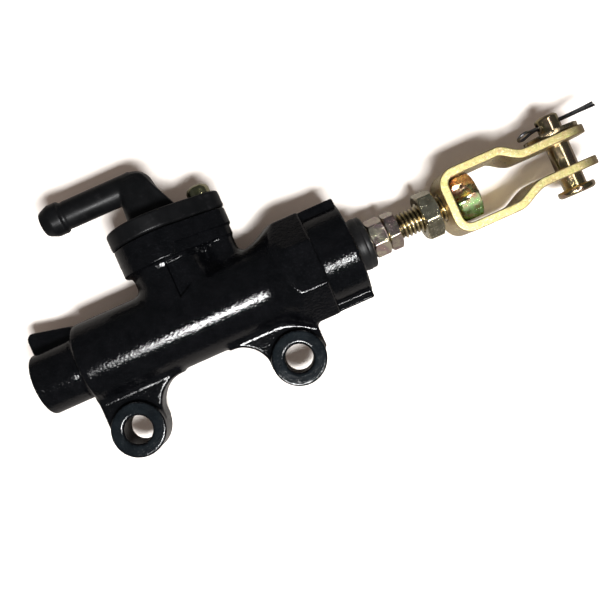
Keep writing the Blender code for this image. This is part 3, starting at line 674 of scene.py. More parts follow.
def sheared(look, colour):
    """The strip's cut edge: part bare, mottled, with painted glints, and browner where it
    curves away, which is painted shade.
    """
    ticks = look.noise(scale=2300, rough=0.7, distortion=0.6)
    ticks = look.mask(ticks, low=0.50, high=0.66)
    colour = look.tint(colour, ticks, amount=0.6, colour=(0.22, 0.16, 0.05))
    # painted glints: pale patches laid over the colour
    glints = look.noise(
        scale=1900, detail=2.0, rough=0.6, distortion=0.4, stretch=(0.6, 1.0, 1.0)
    )
    glints = look.mask(glints, low=0.56, high=0.70)
    colour = look.tint(colour, glints, amount=0.6, colour=(0.95, 0.90, 0.66))
    # painted shade: browner where the normal turns away from the Y axis
    turn = look.math("ABSOLUTE", look.split(look.surface_normal)["Y"])
    away = look.ramp(turn, [(0.80, 1.0), (0.985, 0.0)])
    colour = look.tint(colour, away, amount=0.8, colour=(0.14, 0.085, 0.045))
    look.set(Base_Color=colour, Metallic=0.72)


def rimmed(look, colour):
    """A thin dark line of painted shade where the strip's faces turn into its cut edge."""
    # painted shade: darker where the normal turns partway from the Y axis
    turn = look.math("ABSOLUTE", look.split(look.surface_normal)["Y"])
    turn = look.mask(turn, low=0.16, high=0.46)
    look.set(Base_Color=look.tint(colour, turn, amount=0.92, colour=(0.075, 0.048, 0.026)))


def rooted(look, colour):
    """Painted shade in the thread's roots: the colour darkens towards the root."""
    position = look.split(look.coord)
    height = look.math("SUBTRACT", position["Z"], AXIS_HEIGHT)
    square = look.math(
        "ADD", look.math("POWER", position["Y"], 2.0), look.math("POWER", height, 2.0)
    )
    above_root = look.math("SUBTRACT", look.math("SQRT", square), THREAD_ROOT * MM)
    depth = look.math("DIVIDE", above_root, (THREAD_CREST - THREAD_ROOT) * MM)
    # painted shade: darker towards the roots of the thread
    root_shade = look.ramp(depth, [(0.15, 0.92), (0.62, 0.0)])
    look.set(Base_Color=look.mix(root_shade, colour, (0.050, 0.036, 0.020)))


def steel(name, low, high, rough):
    """Bare metal, its colour between low and high, with faint lines along X."""
    look = Look(name)
    lines = look.noise(scale=1300, rough=0.6, stretch=(0.5, 2.0, 2.0))
    cloud = look.noise(scale=260, rough=0.55)
    return look.set(
        Base_Color=look.ramp(cloud, [(0.3, low), (0.7, high)]),
        Metallic=1.0,
        Roughness=look.ramp(lines, [(0.25, rough[0]), (0.75, rough[1])]),
        Normal=look.bump(lines, distance=0.000006, strength=0.7),
    ).mat


PAINT = black_paint(
    "black_paint", peel=0.00009, low=(0.0008, 0.0009, 0.0012), high=(0.0018, 0.0019, 0.0024)
)
MACHINED, PLASTIC, RUBBER = machined(), black_plastic(), rubber()
# flatter paint for the lugs' low-Y faces; its lighter, bluish colour is a painted sheen
PAINT_FLAT_SHEEN = black_paint(
    "black_paint_on_lugs_painted_sheen", peel=0.000025,
    low=(0.0022, 0.0033, 0.0044), high=(0.0048, 0.0068, 0.0085),
)
ZINC_CLEVIS = zinc(
    "zinc_clevis",
    [(0.48, 0.50, 0.20), (0.82, 0.66, 0.30), (0.80, 0.60, 0.27), (0.72, 0.48, 0.22),
     (0.72, 0.44, 0.36)],
    rough=(0.24, 0.42), scale=210.0, grain=0.000014, stain=0.35, finish=rimmed,
)
ZINC_ROD = zinc(
    "zinc_rod",
    [(0.62, 0.66, 0.44), (0.80, 0.72, 0.56), (0.50, 0.37, 0.38), (0.78, 0.50, 0.44)],
    rough=(0.14, 0.30), scale=330.0,
)
ZINC_NUT = zinc(
    "zinc_nut",
    [(0.52, 0.54, 0.36), (0.76, 0.70, 0.52), (0.60, 0.54, 0.36), (0.46, 0.38, 0.30)],
    rough=(0.16, 0.32), scale=300.0,
)
ZINC_THREAD = zinc(
    "zinc_thread",
    [(0.44, 0.38, 0.20), (0.70, 0.58, 0.30), (0.76, 0.64, 0.40), (0.58, 0.48, 0.28)],
    rough=(0.16, 0.28), scale=260.0, stain=0.4, finish=rooted,
)
# painted light and shade: shade_tilt makes the nut bright green below the axis and dark brown
# above
ZINC_INNER = zinc(
    "zinc_inner_nut",
    [(0.30, 0.66, 0.20), (0.42, 0.58, 0.28), (0.48, 0.30, 0.18), (0.30, 0.14, 0.10)],
    rough=(0.20, 0.36), scale=330.0, stain=0.4, shade_tilt=22.0,
)
ZINC_PIN = zinc(
    "zinc_pin",
    [(0.34, 0.30, 0.13), (0.50, 0.40, 0.20), (0.52, 0.38, 0.26), (0.40, 0.22, 0.20)],
    rough=(0.12, 0.26), scale=240.0, stretch=(1.0, 1.0, 0.5),
)
ZINC_WASHER = zinc(
    "zinc_washer", [(0.33, 0.22, 0.12), (0.46, 0.38, 0.24), (0.58, 0.48, 0.32)],
    rough=(0.18, 0.34), scale=260.0,
)
ZINC_SCREW = zinc(
    "zinc_screw", [(0.26, 0.27, 0.13), (0.44, 0.42, 0.24), (0.60, 0.56, 0.36)],
    rough=(0.14, 0.28), scale=520.0,
)
ZINC_EDGE = zinc(
    "zinc_sheared_edge",
    [(0.28, 0.31, 0.08), (0.52, 0.48, 0.19), (0.56, 0.46, 0.20), (0.42, 0.25, 0.14)],
    rough=(0.36, 0.54), scale=900.0, grain=0.00007, stretch=(0.6, 1.4, 1.0), stain=0.75,
    finish=sheared,
)
PLAIN_STEEL = steel(
    "plain_steel", low=(0.34, 0.34, 0.35), high=(0.52, 0.52, 0.53), rough=(0.22, 0.4)
)
DARK_STEEL = steel(
    "dark_steel", low=(0.16, 0.16, 0.17), high=(0.30, 0.30, 0.31), rough=(0.22, 0.4)
)
ANODISED = steel(
    "anodised_metal", low=(0.50, 0.51, 0.53), high=(0.62, 0.63, 0.65), rough=(0.26, 0.40)
)


def dress(obj, group, mat, slot, node):
    """Gives a piece its material, parents it to the body it moves with and hides the CAD part
    it replaces.
    """
    obj.data.materials.append(mat)
    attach(obj, group)
    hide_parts(node)
    return obj


def face_places(mesh):
    """Centres of the faces in this layout, and their normals."""
    found = []
    for key in ("center", "normal"):
        values = np.empty(len(mesh.polygons) * 3)
        mesh.polygons.foreach_get(key, values)
        found.append(values.reshape(-1, 3))
    return found[0] / MM - SHIFT, found[1]


# ---- the casting -------------------------------------------------------------
# turned outlines are (along, radius); the first four are along X, then Z, Z and Y
BARREL = [(-32.8, 0), (-32.8, 12.5), (44.0, 12.5), (44.0, 0)]
OUTLET = [(-47.0, 0), (-47.0, 9.25), (-30.0, 9.25), (-30.0, 0)]
BORE = [
    (-28.0, 0), (-28.0, 6.35), (37.4, 6.35), (37.4, 8.5), (39.5, 8.5), (39.5, 9.1),
    (40.9, 9.1), (40.9, 8.5), (44.0, 8.5), (44.0, 9.5), (51.5, 9.5), (54.0, 12.0), (54.0, 0),
]
OUTLET_PORT = [
    (-49.0, 0), (-49.0, 7.15), (-46.4, 4.75), (-36.0, 4.75), (-33.8, 1.6), (-27.0, 1.6),
    (-27.0, 0),
]
INLET_WELL = [(9.4, 0), (9.4, 6.0), (25.9, 6.0), (28.0, 8.1), (28.0, 0)]
SCREW_HOLE = [(17.4, 0), (18.8, 2.15), (29.0, 2.15), (29.0, 0)]
LUG_HOLE = [(-10.0, 0), (-10.0, 6.6), (-7.5, 4.1), (2.5, 4.1), (5.0, 6.6), (5.0, 0)]
# (X, Z) outlines of the tab on the outlet and of the small flat beside the inlet
TAB = [
    (-31.0, -3.0), (-31.0, 10.0), (-33.2, 12.0), (-34.4, 13.2), (-46.2, 15.9),
    (OUTLET_END, 14.6), (OUTLET_END, -3.0),
]
FACET = [(1.7, 17.4), (1.7, 6.6), (6.0, 9.4), (11.3, 12.8), (11.3, 17.4)]
# side of the web in X, how far it passes the bolt hole, height of its outer corner
WEBS = ((-1, 8.0, -9.0), (1, 8.6, -12.5))
WEB_SWEEP = 9.4  # radius of the curve from the web up to the barrel


def barrel_field(x, y, z, radius):
    """The barrel, the outlet with a groove turned where they meet, and the outlet's tab."""
    solid = ease_min(
        lathe_field(BARREL, x, radius, rounding=2.0),
        lathe_field(OUTLET, x, radius, rounding=0.9),
        1.0,
    )
    solid = ease_max(solid, 0.75 - np.hypot(x + 33.9, radius - 9.65), 0.3)
    tab = polygon_field(fillet(TAB, 1.2, keep_axis=False), x, z)
    return ease_min(solid, round_max(tab, slab(y, 3.2, 8.8), 0.7), 1.2)


def collar_field(x, y, z, radius):
    """Eight flats, turned to a cone towards the outlet and chamfered towards the mouth."""
    eight = ease_max(np.abs(y), np.abs(z), 0.35)
    eight = ease_max(eight, (np.abs(y) + np.abs(z)) / math.sqrt(2), 0.35) - 15.7
    cone = (radius - 11.3 - (x - 23.0) * (5.8 / 10.4)) * 0.873
    collar = ease_max(eight, cone, 0.4)
    collar = ease_max(collar, (radius - 17.1 + (x - 40.6) * 0.8) * 0.78, 0.3)
    return np.maximum(round_max(collar, x - 41.1, 0.45), 22.0 - x)


def mouth_field(x, y, z, radius):
    """The mouth with its two flat-topped ribs."""
    outline = [(38.0, 0), (38.0, 13.9), (52.3, 13.9), (52.3, 0)]
    mouth = lathe_field(outline, x, radius, rounding=0.8)
    rib = round_max(np.abs(y) - 5.2, np.abs(z) - 15.5, 0.5)
    return ease_min(mouth, round_max(rib, slab(x, 38.0, 52.0), 0.5), 0.7)


def boss_field(x, y, z, from_inlet):
    """The inlet's column and the thin one beside it."""
    wide = [(4.0, 0), (4.0, 10.9), (16.6, 11.2), (20.4, 12.4), (20.4, 0)]
    thin = [(4.0, 0), (4.0, 4.3), (20.4, 4.5), (20.4, 0)]
    beside = lathe_field(thin, z, np.hypot(x - EAR_X + 0.4, y))
    return ease_min(lathe_field(wide, z, from_inlet), beside, 2.0)


def flange_field(x, y, z, from_inlet):
    """The flange steps in below its upper half, except on the outlet side."""
    upper = two_circles(x, y, INLET_X, 13.2, EAR_X, 5.1)
    lower = np.minimum(
        two_circles(x, y, INLET_X, 12.5, EAR_X, 4.5), np.maximum(from_inlet - 13.2, x - 5.5)
    )
    return ease_min(
        round_max(upper, slab(z, 21.3, 26.5), 0.45),
        round_max(lower, slab(z, 18.2, 22.4), 0.45),
        0.25,
    )


def add_lugs(solid, x, y, z):
    """The bolt lugs on their webs."""
    for side, reach, corner_z in WEBS:
        hole = side * LUG_X
        inner, outer = hole - side * LUG_RADIUS, hole + side * reach
        sweep = [
            (inner - side * (WEB_SWEEP - WEB_SWEEP * math.cos(turn)),
             -22.2 + WEB_SWEEP * math.sin(turn))
            for turn in np.radians(np.arange(0, 91, 9))
        ]
        loop = [(hole, LUG_Z), (inner, LUG_Z)] + sweep + [(sweep[-1][0], -9.0)]
        loop += [(hole, -9.0), (outer, corner_z), (outer, LUG_Z)]
        web = round_max(polygon_field(loop, x, z), slab(y, -5.6, 2.4), 0.9)
        solid = ease_min(solid, web, 1.8)
        from_hole = np.hypot(x - hole, z - LUG_Z)
        lug = round_max(from_hole - LUG_RADIUS, slab(y, -8.0, 3.0), 0.6)
        solid = ease_min(solid, lug, 1.2)
    return solid


def holes_field(x, y, z, radius, from_inlet):
    holes = [
        lathe_field(BORE, x, radius),
        lathe_field(OUTLET_PORT, x, radius),
        lathe_field(INLET_WELL, z, from_inlet),
        np.maximum(np.hypot(x - 4.5, y) - 1.2, slab(z, 4.0, 10.4)),  # from well to bore
        lathe_field(SCREW_HOLE, z, np.hypot(x - EAR_X, y)),
    ]
    for side in (-1, 1):
        holes.append(lathe_field(LUG_HOLE, y, np.hypot(x - side * LUG_X, z - LUG_Z)))
    return np.minimum.reduce(holes)


def casting_field(x, y, z):
    radius = np.hypot(y, z)
    from_inlet = np.hypot(x - INLET_X, y)
    solid = barrel_field(x, y, z, radius)
    solid = ease_min(solid, collar_field(x, y, z, radius), 1.6)
    solid = ease_min(solid, mouth_field(x, y, z, radius), 0.35)
    solid = ease_min(solid, boss_field(x, y, z, from_inlet), 2.6)
    solid = ease_min(solid, flange_field(x, y, z, from_inlet), 0.7)
    # small flat on the low-Y side, between the two columns
    facet = np.maximum(polygon_field(FACET, x, z), y + 9.9)
    solid = ease_max(solid, -facet, 0.3)
    solid = add_lugs(solid, x, y, z)
    holes = holes_field(x, y, z, radius, from_inlet)
    return np.maximum(ease_max(solid, -holes, 0.3), OUTLET_END - x)


def build_casting():
    """Painted, with bare metal in the holes and flatter paint on the lugs' low-Y faces, whose
    lighter bluish colour is a painted sheen.
    """
    casting = skin("casting", casting_field, (-48.6, -16.8, -31.8), (53.4, 16.8, 27.6), 0.46)
    dress(casting, "cylinder", PAINT, "black_paint", "cylinder_body")
    casting.data.materials.append(MACHINED)
    casting.data.materials.append(PAINT_FLAT_SHEEN)
    centres, normals = face_places(casting.data)
    x, y, z = centres.T
    radius, from_inlet = np.hypot(y, z), np.hypot(x - INLET_X, y)
    faces_in = normals[:, 1] * y + normals[:, 2] * z < 0.4 * radius
    bare = (radius < 9.3) & (x > -46.0) & (x < 51.8) & faces_in
    bare |= (radius < 8.6) & (x < -46.2)  # machined outlet face
    bare |= (from_inlet < 6.3) & (z > 8.0) & (z < 26.2)
    from_hole = np.hypot(np.abs(x) - LUG_X, z - LUG_Z)
    # the lugs' low-Y faces take the flatter paint with its painted sheen
    lug = (from_hole < 7.9) & (y < -7.0) & (normals[:, 1] < -0.9)
    slots = np.where(lug, 2, bare).astype(np.int32)
    casting.data.polygons.foreach_set("material_index", slots)


# ---- the hose elbow and its screw --------------------------------------------
DOME_Z, DOME_RADIUS, DOME_HEIGHT = 41.6, 5.5, 5.4
# (Z, radius) up the stem to its domed top
STEM = [(28.0, 0), (28.0, 7.0), (30.0, 6.7), (33.0, 6.1), (DOME_Z, DOME_RADIUS)]
STEM += [
    (DOME_Z + DOME_HEIGHT * math.sin(turn), DOME_RADIUS * math.cos(turn))
    for turn in np.radians([15, 30, 45, 60, 75, 84])
]
STEM += [(DOME_Z + DOME_HEIGHT, 0)]
# (X, Z) of the wedge that props the stem on the ear's side
WEDGE = [(STEM_X, 45.6), (STEM_X, 31.0), (10.6, 31.0), (9.9, 33.0), (4.4, 45.0)]
# (X, radius) along the barbed spigot
SPIGOT = [
    (-28.1, 0), (-28.1, 3.3), (-27.6, 3.75), (-25.7, 4.62), (-24.9, 4.87), (-22.3, 4.87),
    (-21.9, 4.8), (-21.5, 4.25), (-20.9, 4.1), (-20.3, 4.25), (STEM_X, 4.25), (STEM_X, 0),
]
# (Z, radius) of the neck in the inlet well, with the groove for its seal
NECK = [
    (21.4, 0), (21.4, 5.3), (21.8, 5.7), (22.9, 5.7), (22.9, 4.2), (24.9, 4.2), (24.9, 5.7),
    (28.0, 5.7), (28.0, 0),
]
HEAD_Z = 32.1  # underside of the flange screw's head
# (Z, radius) of the flange screw
SCREW = [
    (19.6, 0), (19.6, 1.3), (20.2, 1.9), (HEAD_Z, 1.9), (HEAD_Z, 3.5), (HEAD_Z + 1.8, 3.5),
    (HEAD_Z + 2.8, 3.0), (HEAD_Z + 3.35, 2.0), (HEAD_Z + 3.6, 0),
]


def elbow_field(x, y, z):
    from_stem = np.hypot(x - STEM_X, y)
    from_spigot = np.hypot(y, z - SPIGOT_Z)
    plate = two_circles(x, y, INLET_X, 13.5, EAR_X, 5.3)
    plate = round_max(plate, slab(z, 26.7, 31.9), 0.8)
    wedge = round_max(polygon_field(fillet(WEDGE, 0.7), x, z), np.abs(y) - 3.6, 0.6)
    solid = ease_min(plate, ease_min(lathe_field(STEM, z, from_stem), wedge, 0.9), 0.7)
    solid = ease_min(solid, lathe_field(SPIGOT, x, from_spigot, rounding=0.3), 0.6)
    solid = np.minimum(solid, lathe_field(NECK, z, np.hypot(x - INLET_X, y)))
    holes = np.minimum.reduce([
        np.maximum(from_spigot - 2.3, slab(x, -40.0, 2.4)),
        np.maximum(from_stem - 2.6, slab(z, 10.0, 44.8)),
        np.maximum(np.hypot(x - EAR_X, y) - 2.25, slab(z, 10.0, 40.0)),
    ])
    return ease_max(solid, -holes, 0.3)


def screw_field(x, y, z):
    """A domed head with a tapering cross recess, turned 45 degrees."""
    radius = np.hypot(x - EAR_X, y)
    solid = lathe_field(SCREW, z, radius, rounding=0.3)
    first = np.abs((x - EAR_X + y) / math.sqrt(2))
    second = np.abs((x - EAR_X - y) / math.sqrt(2))
    taper = 0.12 * (z - HEAD_Z - 1.8)
    half_width, half_length = 0.42, 1.75
    cross = np.minimum(
        np.maximum(first - half_width - taper, second - half_length - taper * 2),
        np.maximum(second - half_width - taper, first - half_length - taper * 2),
    )
    cross = np.maximum(cross, HEAD_Z + 1.95 + 0.35 * radius - z)
    return ease_max(solid, -cross, 0.15)


def build_elbow():
    elbow = skin("hose_elbow", elbow_field, (-29.2, -14.6, 20.4), (23.8, 14.6, 48.0), 0.40)
    dress(elbow, "cylinder", PLASTIC, "black_plastic", "inlet_elbow")
    screw = skin("flange_screw", screw_field, (13.4, -4.0, 19.0), (21.4, 4.0, 36.3), 0.15)
    dress(screw, "cylinder", ZINC_SCREW, "green_zinc", "inlet_screw")


# ---- the clevis and its pin --------------------------------------------------
STRIP_X, BEND = 80.9, 5.0  # outer face of the strip's base, outer radius of its bends
# side in Z, X where the jog starts and stops, outer half height before and after it
JOGS = ((-1, 99.4, 109.2, 10.0, 6.5), (1, 99.8, 107.2, 9.4, 5.9))
# (Z, radius) of the headed pin
PIN = [
    (-12.2, 0), (-12.2, 4.7), (-11.8, 5.3), (-11.5, 5.5), (-10.5, 5.5), (-10.1, 5.2),
    (-10.1, 3.45), (11.7, 3.45), (12.4, 2.75), (12.4, 0),
]


def strip_arm(side, start, stop, half, ear):
    """Middle of one arm in X-Z, from the base round the bend and the jog to the ear."""
    line = []
    for turn in np.radians(np.linspace(180, 90, 9)):
        line.append((
            STRIP_X + BEND + (BEND - SHEET_HALF) * math.cos(turn),
            half - BEND + (BEND - SHEET_HALF) * math.sin(turn),
        ))
    for i in range(15):
        f = i / 14
        ease = f * f * (3 - 2 * f)
        lean = math.atan2(6 * f * (1 - f) * (half - ear) / (stop - start), 1.0)
        line.append((
            start + (stop - start) * f - SHEET_HALF * math.sin(lean),
            half - (half - ear) * ease - SHEET_HALF * math.cos(lean),
        ))
    line.append((CLEVIS_END, ear - SHEET_HALF))
    return [(x, side * z) for x, z in line]


LOWER_ARM, UPPER_ARM = [strip_arm(*jog) for jog in JOGS]
STRIP = LOWER_ARM[::-1] + UPPER_ARM


def clevis_plan(x, y):
    """Distance from the middle of the strip's plan, which ends round the pin."""
    return np.hypot(np.maximum(x - PIN_X, 0), y)


def clevis_field(x, y, z):
    nearest = np.full(x.shape, 1e9)
    for start, end in zip(STRIP, STRIP[1:]):
        nearest = np.minimum(nearest, segment_gap(start, end, x, z))
    sheet = np.sqrt(nearest) - SHEET_HALF
    solid = round_max(sheet, clevis_plan(x, y) - CLEVIS_HALF_WIDTH, 0.4)
    stud_hole = np.maximum(np.hypot(y, z) - 4.17, x - 90.0)
    pin_hole = np.hypot(x - PIN_X, y) - 3.6
    return ease_max(solid, -np.minimum(stud_hole, pin_hole), 0.35)


def pin_field(x, y, z):
    solid = lathe_field(PIN, z, np.hypot(x - PIN_X, y), rounding=0.25)
    return ease_max(solid, 1.15 - np.hypot(y, z - COTTER_Z), 0.25)


def build_clevis():
    fork = skin("fork_clevis", clevis_field, (79.9, -9.4, -11.0), (129.0, 9.4, 10.4), 0.34)
    dress(fork, "clevis_group", ZINC_CLEVIS, "yellow_zinc", "clevis")
    fork.data.materials.append(ZINC_EDGE)
    centres, normals = face_places(fork.data)
    x, y = centres[:, 0], centres[:, 1]
    outward = np.abs(normals[:, 1]) + np.where(x > PIN_X, np.abs(normals[:, 0]), 0)
    cut_edge = (clevis_plan(x, y) > 8.2) & (outward > 0.55)
    fork.data.polygons.foreach_set("material_index", cut_edge.astype(np.int32))
    pin = skin("headed_pin", pin_field, (113.4, -6.2, -12.8), (125.4, 6.2, 13.0), 0.24)
    dress(pin, "pin_group", ZINC_PIN, "yellow_zinc", "clevis_pin")


# ---- boot, rod, nuts and stud ------------------------------------------------
# (X, radius) round the dust boot's section
BOOT = [
    (BOOT_START, 7.9), (BOOT_START, 9.2), (50.6, 9.2), (51.4, 9.05), (52.3, 8.5),
    (52.75, 7.95), (53.2, 7.75), (53.75, 7.85), (54.3, 8.0), (55.2, 8.0), (55.6, 7.8),
    (56.0, 7.9), (56.7, 7.85), (57.15, 7.4), (57.3, 6.9), (57.3, 5.25), (56.2, 5.25),
    (55.4, 6.3), (53.8, 6.5), (52.0, 7.3),
]


def build_boot():
    boot = turned("rod_boot", fillet(BOOT, 0.25), 128, angle=60)
    dress(boot, "cylinder", RUBBER, "black_rubber", "dust_boot")
    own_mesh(boot)


def build_rod():
    """The push rod: ball end, shank and hexagon, hollow for the stud."""
    low, high = 57.7, 62.6  # the hexagon
    face = ROD_HEX / 2 * 0.97
    rows, wall = hexagon(low, high, ROD_HEX, math.radians(-6), 0.70)
    line = [
        (BALL_X - BALL_RADIUS * math.cos(turn), BALL_RADIUS * math.sin(turn))
        for turn in np.radians(np.arange(0, 101, 8))
    ]
    line += [(37.1, 4.25), (37.6, 3.0), (49.8, 3.0), (51.0, 3.9), (57.9, 3.9)]
    line += [(low, 4.2), (low, face)] + rows + [(high, face), (high, 3.2)]
    line += [(high - 0.5, STUD_BORE), (52.6, STUD_BORE), (52.6, 0)]

    def shape(x, radius, theta):
        return np.where(radius == SHAPED, wall(x, theta), radius)

    rod = turned("push_rod_head", line, 180, shape=shape, closed=False, angle=40)
    dress(rod, "rod", ZINC_ROD, "yellow_zinc", "push_rod")


def stake(x, wall, theta):
    """Cones the nut's low end and punches a round recess in its low-Y side."""
    wall = ease_min(wall, np.minimum(4.2 + (x - 82.7), 7.55), 0.25)
    y, z = wall * np.cos(theta), wall * np.sin(theta)
    from_punch = np.hypot(x - 85.6, z - 1.6)
    dent = np.where(y < 0, np.clip(1 - (from_punch / 2.6) ** 2, 0, 1), 0)
    return wall - 1.6 * np.sqrt(dent)


def build_nuts():
    rod_nut = nut("rod_jam_nut", 62.9, 66.5, ROD_HEX, bore=2.7, turn=-11, threaded=False)
    dress(rod_nut, "rod_nut", ZINC_ROD, "yellow_zinc", "rod_lock_nut")
    jam_nut = nut("jam_nut", 73.7, 79.0, NUT_HEX, NUT_BORE, turn=45.5)
    dress(jam_nut, "lock_nut", ZINC_NUT, "yellow_zinc", "clevis_lock_nut")
    staked = nut(
        "staked_nut", 83.7, 91.2, NUT_HEX, NUT_BORE, turn=30, both=False, reshape=stake
    )
    dress(staked, "clevis_group", ZINC_INNER, "yellow_zinc", "clevis_inner_nut")


def build_stud():
    """A plain shank in the rod, then the thread that carries the clevis."""
    low, high = THREAD_START, THREAD_END
    line = [(53.3, 0), (53.3, 2.1), (53.7, 2.5), (low, 2.5), (low, 3.1)]
    line += [(x, SHAPED) for x in np.arange(low + 0.04, high - 0.02, PITCH / 11)]
    line += [(high, 2.9), (high, 0)]

    def shape(x, radius, theta):
        fade = np.clip((x - low) / 1.2, 0, 1)
        height = (THREAD_CREST - THREAD_ROOT) * thread_wave(x, theta) * fade
        chamfer = np.minimum(3.15 + (x - low) / 0.9, 2.95 + (high - x) / 0.9)
        thread = np.minimum(THREAD_ROOT + height, chamfer)
        return np.where(radius == SHAPED, thread, radius)

    stud = turned("threaded_end", line, 88, shape=shape, closed=False, angle=70)
    dress(stud, "rod", ZINC_THREAD, "yellow_zinc", "threaded_stud")


# ---- washer and split pin ----------------------------------------------------
def build_washer():
    section = fillet([(6.1, 4.2), (6.1, 8.0), (7.4, 8.0), (7.4, 4.2)], 0.22)
    washer = turned("flat_washer", section, 128, "Z", (118.8, 0, 0))
    dress(washer, "washer", ZINC_WASHER, "yellow_zinc", "clevis_washer")


def build_split_pin():
    """Half-round wire: in along one leg, round the eye and back along the other."""
    eye, wire, apart, roll = 1.9, 0.43, 0.47, math.radians(-22)
    eye_x = 109.1 + eye + 0.42
    start = math.degrees(math.asin(apart / eye))
    # (X, sideways) before the legs are rolled about X
    flat = [
        (134.58, apart + 0.1), (131.0, apart + 0.02), (126.0, apart), (120.0, apart),
        (115.6, apart),
    ]
    for turn in np.radians(np.linspace(start + 12, 348 - start, 40)):
        flat.append((eye_x + eye * math.cos(turn), eye * math.sin(turn)))
    flat += [
        (115.6, -apart), (120.0, -apart), (126.0, -apart - 0.1), (130.0, -apart - 0.45),
        (133.4, -apart - 1.0),
    ]
    flat = np.array(flat)
    # short steps along the line, which is then smoothed
    line = [flat[0]]
    for begin, end in zip(flat, flat[1:]):
        parts = max(1, int(np.linalg.norm(end - begin) / 0.45))
        line += [begin + (end - begin) * k / parts for k in range(1, parts + 1)]
    line = np.array(line)
    for _ in range(4):
        line[1:-1] = 0.25 * line[:-2] + 0.5 * line[1:-1] + 0.25 * line[2:]
    along, aside = line.T
    sag = -0.7 * np.clip((115.2 - along) / 6.0, 0, 1)  # the eye hangs a little
    path = np.stack(
        [along, aside * math.cos(roll), COTTER_Z + aside * math.sin(roll) + sag], 1
    )
    up = np.array([0, -math.sin(roll), math.cos(roll)])
    # the flat of the wire faces the other leg
    section = [
        (wire * math.cos(turn) - 0.10, wire * math.sin(turn))
        for turn in np.linspace(-math.pi / 2, math.pi / 2, 11)
    ]
    section += [(-0.24, 0.34), (-0.24, -0.34)]
    pin = swept("split_pin", path, section, up)
    dress(pin, "pin_group", DARK_STEEL, "dark_steel", "cotter_pin")


# ---- pieces inside the cylinder ----------------------------------------------
# (X, radius) of the piston, up to its hollow seat for the rod's ball
PISTON = [
    (-4.4, 0), (-4.4, 2.0), (-4.0, 2.4), (1.2, 2.4), (1.2, 6.25), (2.6, 6.25), (3.2, 4.2),
    (20.2, 4.2), (20.8, 6.25), (22.0, 6.25), (22.0, 4.0), (25.9, 4.0), (25.9, 6.25),
    (36.8, 6.25), (37.2, 5.85), (37.2, BALL_SEAT), (BALL_X, BALL_SEAT),
]
PISTON += [
    (BALL_X - math.sqrt(BALL_SEAT**2 - (BALL_SEAT * share) ** 2), BALL_SEAT * share)
    for share in (0.95, 0.83, 0.62, 0.35, 0.0)
]
# name, (X, radius) round the section, rounding, then what dress() takes
RINGS = (
    ("front_cup",
     [(0.9, 2.6), (0.9, 6.15), (0.0, 6.0), (-2.1, 6.25), (-2.3, 5.95), (-0.6, 4.65),
      (-0.6, 3.6), (-2.0, 3.0), (-2.0, 2.6)],
     0.2, "piston_group", RUBBER, "black_rubber", "primary_cup"),
    ("rear_cup",
     [(25.7, 4.2), (25.7, 6.05), (24.8, 5.95), (22.5, 6.25), (22.3, 5.95), (23.9, 5.3),
      (23.9, 4.7), (22.3, 4.5), (22.3, 4.2)],
     0.2, "piston_group", RUBBER, "black_rubber", "secondary_cup"),
    ("coil_seat",
     [(-5.0, 2.7), (-5.0, 3.3), (-3.2, 3.4), (-3.2, 5.7), (-2.5, 5.7), (-2.5, 2.7)],
     0.15, "piston_group", PLAIN_STEEL, "plain_steel", "spring_seat"),
    ("rod_stop", [(37.8, 3.95), (39.2, 3.95), (39.2, 8.2), (37.8, 8.2)],
     0.2, "cylinder", PLAIN_STEEL, "plain_steel", "stop_washer"),
)


def circle(radius, sides):
    turns = np.arange(sides) * math.tau / sides
    return [(radius * math.cos(turn), radius * math.sin(turn)) for turn in turns]


def build_spring():
    """A coil with a close turn at each end."""
    wire, coil_radius, end, turns = 0.6, 4.7, -4.0, 7
    close_pitch = 2 * wire + 0.12
    open_turns = turns - 2
    pitch = (end - SPRING_START - 2 * close_pitch) / open_turns
    turn = np.linspace(0, turns, turns * 44 + 1)
    along = close_pitch * np.minimum(turn, 1) + pitch * np.clip(turn - 1, 0, open_turns)
    along += close_pitch * np.maximum(turn - 1 - open_turns, 0)
    theta = turn * math.tau
    up = np.stack([0 * theta, np.cos(theta), np.sin(theta)], 1)
    path = np.stack([SPRING_START + along, coil_radius * up[:, 1], coil_radius * up[:, 2]], 1)
    spring = swept("coil_spring", path, circle(wire, 14), up)
    dress(spring, "cylinder", PLAIN_STEEL, "plain_steel", "return_spring")
    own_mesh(spring)


def build_piston_and_rings():
    outline = fillet(PISTON, 0.2, steps=2, closed=False)
    piston = turned("cylinder_piston", outline, closed=False)
    dress(piston, "piston_group", ANODISED, "anodised", "piston")
    for name, section, rounding, *looks in RINGS:
        dress(turned(name, fillet(section, rounding)), *looks)


def build_seal_ring():
    section = [(along, 5.1 + out) for along, out in circle(0.7, 16)]
    ring = turned("seal_ring", section, 96, "Z", (INLET_X, 0, 23.9), angle=80)
    dress(ring, "cylinder", RUBBER, "black_rubber", "inlet_o_ring")


def finish_snap_ring():
    """The spring ring's CAD shape stands, with a bevel and a finish of its own."""
    snap = frame["nodes"]["snap_ring"]
    snap.data.materials.clear()
    snap.data.materials.append(DARK_STEEL)
    bevel = snap.modifiers.new("edges", "BEVEL")
    bevel.width = 0.1 * MM
    bevel.segments = 2
    bevel.limit_method = "ANGLE"
    bevel.angle_limit = math.radians(40)
    bevel.use_clamp_overlap = True


